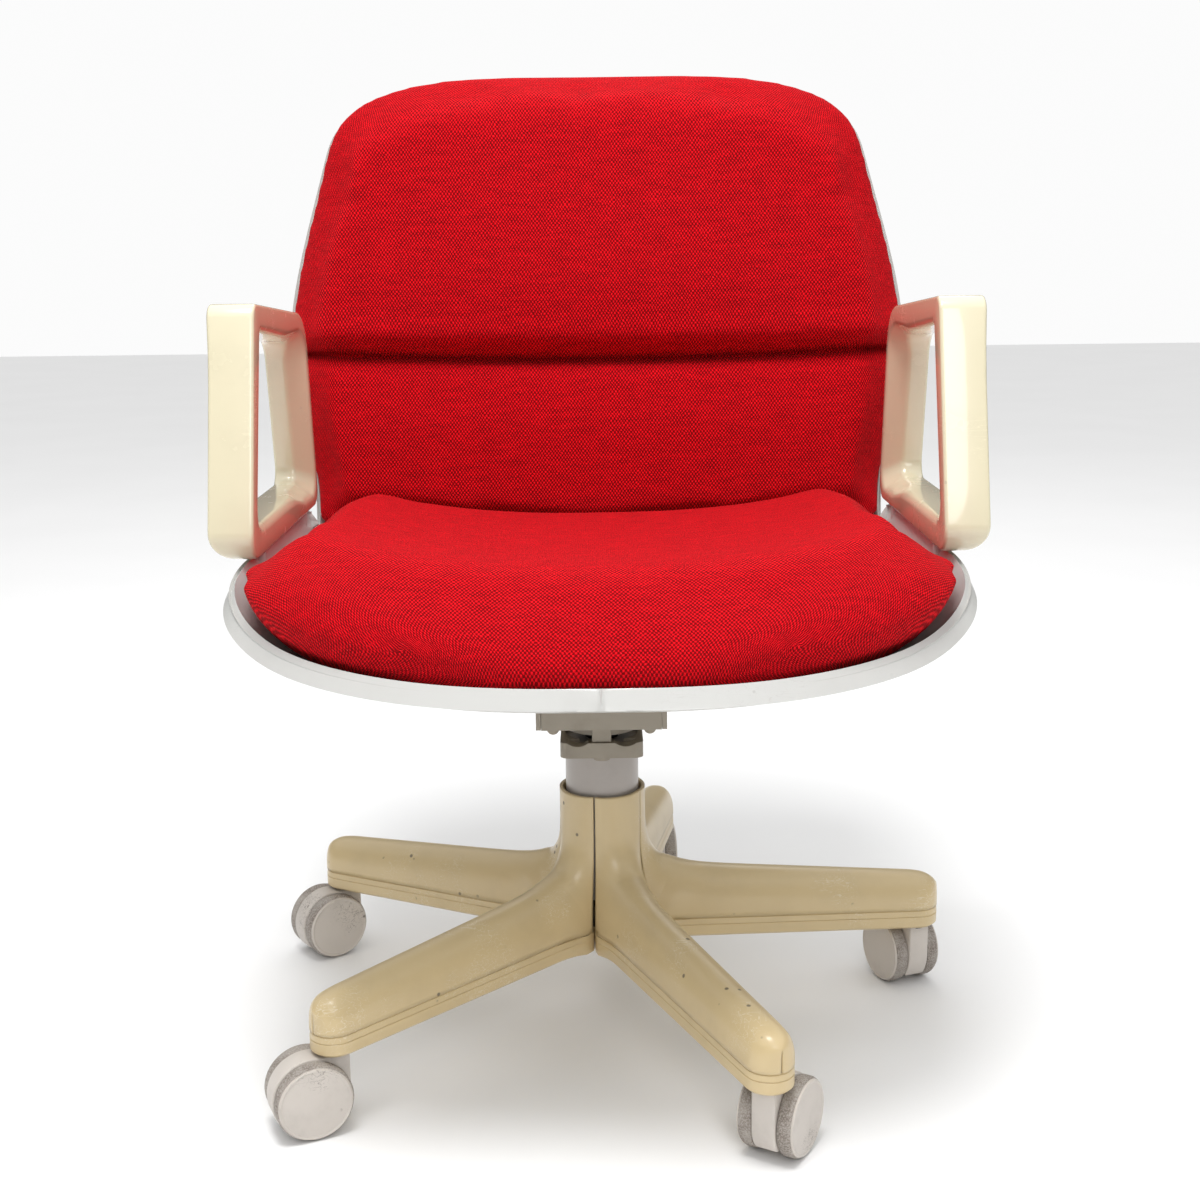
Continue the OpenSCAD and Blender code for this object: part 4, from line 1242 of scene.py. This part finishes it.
class ARMCHAIR_OT_stage(bpy.types.Operator):
    """Sets the camera, the pale floor and the soft lights"""

    bl_idname = "armchair.stage"
    bl_label = "Camera, Floor and Lights"

    def execute(self, context):
        scene = context.scene
        view = bpy.data.cameras.new("camera")
        view.sensor_width = 36
        view.lens = LENS
        camera = linked("camera", view)
        turn = Matrix.Rotation(math.radians(90 - DOWNWARD), 4, "X") @ Matrix.Rotation(math.radians(ROLL), 4, "Z")
        camera.matrix_world = Matrix.Translation(CAMERA_AT) @ turn
        scene.camera = camera
        scene.view_settings.view_transform = "Standard"

        bm = bmesh.new()
        bmesh.ops.create_grid(bm, x_segments=8, y_segments=8, size=9)
        floor = linked("floor", as_mesh(bm, "floor"))
        material, w, shader = plain_material("pale_floor")
        where = w.node("ShaderNodeTexCoord").outputs["Object"]
        cloud = w.noise(where, 3.0, 4.0)
        w.join(w.blend(cloud, (0.88, 0.88, 0.88, 1), (0.92, 0.92, 0.92, 1)), shader.inputs["Base Color"])
        shader.inputs["Roughness"].default_value = 0.8
        floor.data.materials.append(material)

        world = bpy.data.worlds.new("studio")
        world.use_nodes = True
        sky = world.node_tree.nodes["Background"]
        sky.inputs["Color"].default_value = (1, 1, 1, 1)
        air = Wiring(world.node_tree)
        seen = air.node("ShaderNodeLightPath").outputs["Is Camera Ray"]
        height = air.node("ShaderNodeSeparateXYZ")
        air.join(air.node("ShaderNodeTexCoord").outputs["Generated"], height.inputs[0])
        glow = air.band(height.outputs[2], 0.30, 0.75, 0.16, 1.12)
        air.join(air.math("MAXIMUM", air.times(seen, 0.97), glow), sky.inputs["Strength"])
        scene.world = world
        for name, spot, aim, size, power in (
            ("top_light", (-0.15, -0.60, 2.6), (0, 0.05, 0.4), 0.9, 44),
            ("front_light", (0.4, -2.9, 1.9), (0, 0, 0.45), 1.2, 17),
            ("back_light", (0.3, 2.6, 2.4), (0, 0, 0.5), 1.8, 8),
        ):
            lamp = bpy.data.lights.new(name, "AREA")
            lamp.shape = "DISK"
            lamp.size = size
            lamp.energy = power
            light = linked(name, lamp)
            light.location = spot
            light.rotation_euler = (Vector(aim) - Vector(spot)).to_track_quat("-Z", "Y").to_euler()
        return {"FINISHED"}


class ARMCHAIR_OT_leg_covers(bpy.types.Operator):
    """Moulds the five leg covers, with the gaps between them down the hub"""

    bl_idname = "armchair.leg_covers"
    bl_label = "Leg Covers"

    def execute(self, context):
        for i in LEGS:
            bm = bmesh.new()
            make_cover(bm, i)
            piece = add_piece(f"cover_{i}", bm, base_plastic(), "base", "base_plastic",
                              [f"leg_cover_{i}"], sharp=50)
            add_modifier(piece, "SOLIDIFY", thickness=sizes().cover_wall, offset=-1)
        return {"FINISHED"}


class ARMCHAIR_OT_undersides(bpy.types.Operator):
    """Moulds the five undersides that close the legs from below"""

    bl_idname = "armchair.undersides"
    bl_label = "Leg Undersides"

    def execute(self, context):
        for i in LEGS:
            bm = bmesh.new()
            make_underside(bm, i)
            add_piece(f"underside_{i}", bm, base_plastic(), "base", "base_plastic_lower",
                      [f"leg_underside_{i}"], sharp=35)
        return {"FINISHED"}


class ARMCHAIR_OT_castors(bpy.types.Operator):
    """Makes the castor hoods and their twin wheels"""

    bl_idname = "armchair.castors"
    bl_label = "Castors"

    def execute(self, context):
        for i in LEGS:
            bm = bmesh.new()
            make_hood(bm, i)
            add_piece(f"hood_{i}", bm, castor_plastic(), f"castor_{i}", "castor_plastic", [f"castor_hood_{i}"])
            for side in SIDES:
                bm = bmesh.new()
                make_wheel(bm, i, side)
                wheel = add_piece(f"wheel_{side}_{i}_turned", bm, castor_plastic(), f"wheel_{side}_{i}",
                                  "castor_tread", [f"wheel_{side}_{i}"], sharp=30)
                wheel.data.materials.append(tread_plastic())
                hub = axle_frame(i)
                for face in wheel.data.polygons:
                    local = hub.inverted() @ face.center
                    if math.hypot(local.x, local.y) > sizes().wheel_radius - 0.0016:
                        face.material_index = 1
        return {"FINISHED"}


class ARMCHAIR_OT_mechanism(bpy.types.Operator):
    """Rounds and paints the collar, tappet, tilt housing and bracket"""

    bl_idname = "armchair.mechanism"
    bl_label = "Tilt Mechanism"

    def execute(self, context):
        for node, body, slot, material, width in (
            ("release_collar", "release", "collar_plastic", collar_plastic(), 0.0013),
            ("release_tappet", "release", "collar_plastic", collar_plastic(), 0.0008),
            ("tilt_housing", "lift", "mechanism_paint", mechanism_paint(), 0.0015),
            ("seat_bracket", "seat", "mechanism_paint", mechanism_paint(), 0.0012),
            ("column_cover", "lift", "column_plastic", column_plastic(), 0.0006),
        ):
            piece = add_piece(f"{node}_rounded", copy_of(node), material, body, slot, [node], sharp=35, weld=0,
                              recalc=False)
            add_modifier(piece, "BEVEL", width=width, segments=3, limit_method="ANGLE",
                         angle_limit=math.radians(40), harden_normals=False)
        return {"FINISHED"}


class ARMCHAIR_OT_shell(bpy.types.Operator):
    """Moulds the white bucket shell with its rolled rim and bosses"""

    bl_idname = "armchair.shell"
    bl_label = "Bucket Shell"

    def execute(self, context):
        bm = bmesh.new()
        make_shell_wall(bm)
        bmesh.ops.remove_doubles(bm, verts=bm.verts, dist=1e-5)
        bmesh.ops.recalc_face_normals(bm, faces=bm.faces)
        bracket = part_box("seat_bracket")[1][2]
        for x, y in BOLTS:
            add_boss(bm, x, y, bracket, bracket + 0.029, 0.013)
        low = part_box("arm_left")[0][2]
        for x, y in ARM_SCREWS:
            add_boss(bm, x, y, low - 0.034, low - 0.0002, 0.007)
        add_piece("shell_moulding", bm, shell_plastic(), "seat", "shell_plastic", ["seat_shell"], sharp=42,
                  weld=0, recalc=False)
        return {"FINISHED"}


def upholster(name, form, cushion):
    piece = add_piece(name, form, upholstery(), "seat", "red_fabric", [cushion], sharp=180, weld=0)
    add_modifier(piece, "SUBSURF", levels=1, render_levels=1)


class ARMCHAIR_OT_seat_pad(bpy.types.Operator):
    """Upholsters the seat cushion"""

    bl_idname = "armchair.seat_pad"
    bl_label = "Seat Cushion"

    def execute(self, context):
        upholster("seat_pad", make_seat_pad(), "seat_cushion")
        return {"FINISHED"}


class ARMCHAIR_OT_back_pad(bpy.types.Operator):
    """Upholsters the back cushion, with the sewn crease between its two pads"""

    bl_idname = "armchair.back_pad"
    bl_label = "Back Cushion"

    def execute(self, context):
        upholster("back_pad", make_back_pad(), "back_cushion")
        return {"FINISHED"}


class ARMCHAIR_OT_arms(bpy.types.Operator):
    """Moulds the two loop arms"""

    bl_idname = "armchair.arms"
    bl_label = "Loop Arms"

    def execute(self, context):
        for name, side in (("left", -1), ("right", 1)):
            bm = bmesh.new()
            make_arm(bm, side)
            piece = add_piece(f"arm_{name}_loop", bm, arm_plastic(), "seat", "arm_plastic",
                              [f"arm_{name}"], sharp=180)
            add_modifier(piece, "BEVEL", width=0.0030, segments=4, limit_method="ANGLE",
                         angle_limit=math.radians(24))
        return {"FINISHED"}


class ARMCHAIR_OT_fittings(bpy.types.Operator):
    """Gives the frame's own steel and plastic parts their finish"""

    bl_idname = "armchair.fittings"
    bl_label = "Fittings"

    def execute(self, context):
        finishes = {
            "base_frame": black_enamel, "guide_bush": collar_plastic, "thrust_bearing": bare_steel,
            "piston_rod": bare_steel, "retaining_clip": bare_steel, "gas_cylinder": black_enamel,
            "housing_screws": mechanism_paint, "lever_pin": bare_steel, "tilt_springs": bare_steel,
            "valve_lever": bare_steel, "valve_pin": bare_steel, "tilt_pin": bare_steel,
            "seat_bolts": bare_steel, "arm_screws": bare_steel,
        }
        for i in LEGS:
            finishes[f"castor_stem_{i}"] = black_enamel
            finishes[f"castor_axle_{i}"] = bare_steel
        for node, finish in finishes.items():
            wear_material(node, finish())
        return {"FINISHED"}


STEPS = (
    ARMCHAIR_OT_stage, ARMCHAIR_OT_leg_covers, ARMCHAIR_OT_undersides, ARMCHAIR_OT_castors, ARMCHAIR_OT_mechanism,
    ARMCHAIR_OT_shell, ARMCHAIR_OT_seat_pad, ARMCHAIR_OT_back_pad, ARMCHAIR_OT_arms, ARMCHAIR_OT_fittings,
)


class ARMCHAIR_PT_panel(bpy.types.Panel):
    bl_idname = "ARMCHAIR_PT_panel"
    bl_label = "Swivel Armchair"
    bl_space_type = "VIEW_3D"
    bl_region_type = "UI"
    bl_category = "Armchair"

    def draw(self, context):
        layout = self.layout
        for group in (context.scene.armchair_sizes, context.scene.armchair_colours):
            for name in group.__annotations__:
                layout.prop(group, name)
        for step in STEPS:
            layout.operator(step.bl_idname)


CLASSES = (ArmchairSizes, ArmchairColours, *STEPS, ARMCHAIR_PT_panel)


def register():
    for item in CLASSES:
        bpy.utils.register_class(item)
    bpy.types.Scene.armchair_sizes = bpy.props.PointerProperty(type=ArmchairSizes)
    bpy.types.Scene.armchair_colours = bpy.props.PointerProperty(type=ArmchairColours)


def unregister():
    del bpy.types.Scene.armchair_colours
    del bpy.types.Scene.armchair_sizes
    for item in reversed(CLASSES):
        bpy.utils.unregister_class(item)


def main():
    register()
    for step in STEPS:
        family, name = step.bl_idname.split(".")
        getattr(getattr(bpy.ops, family), name)()


if __name__ == "__main__":
    main()
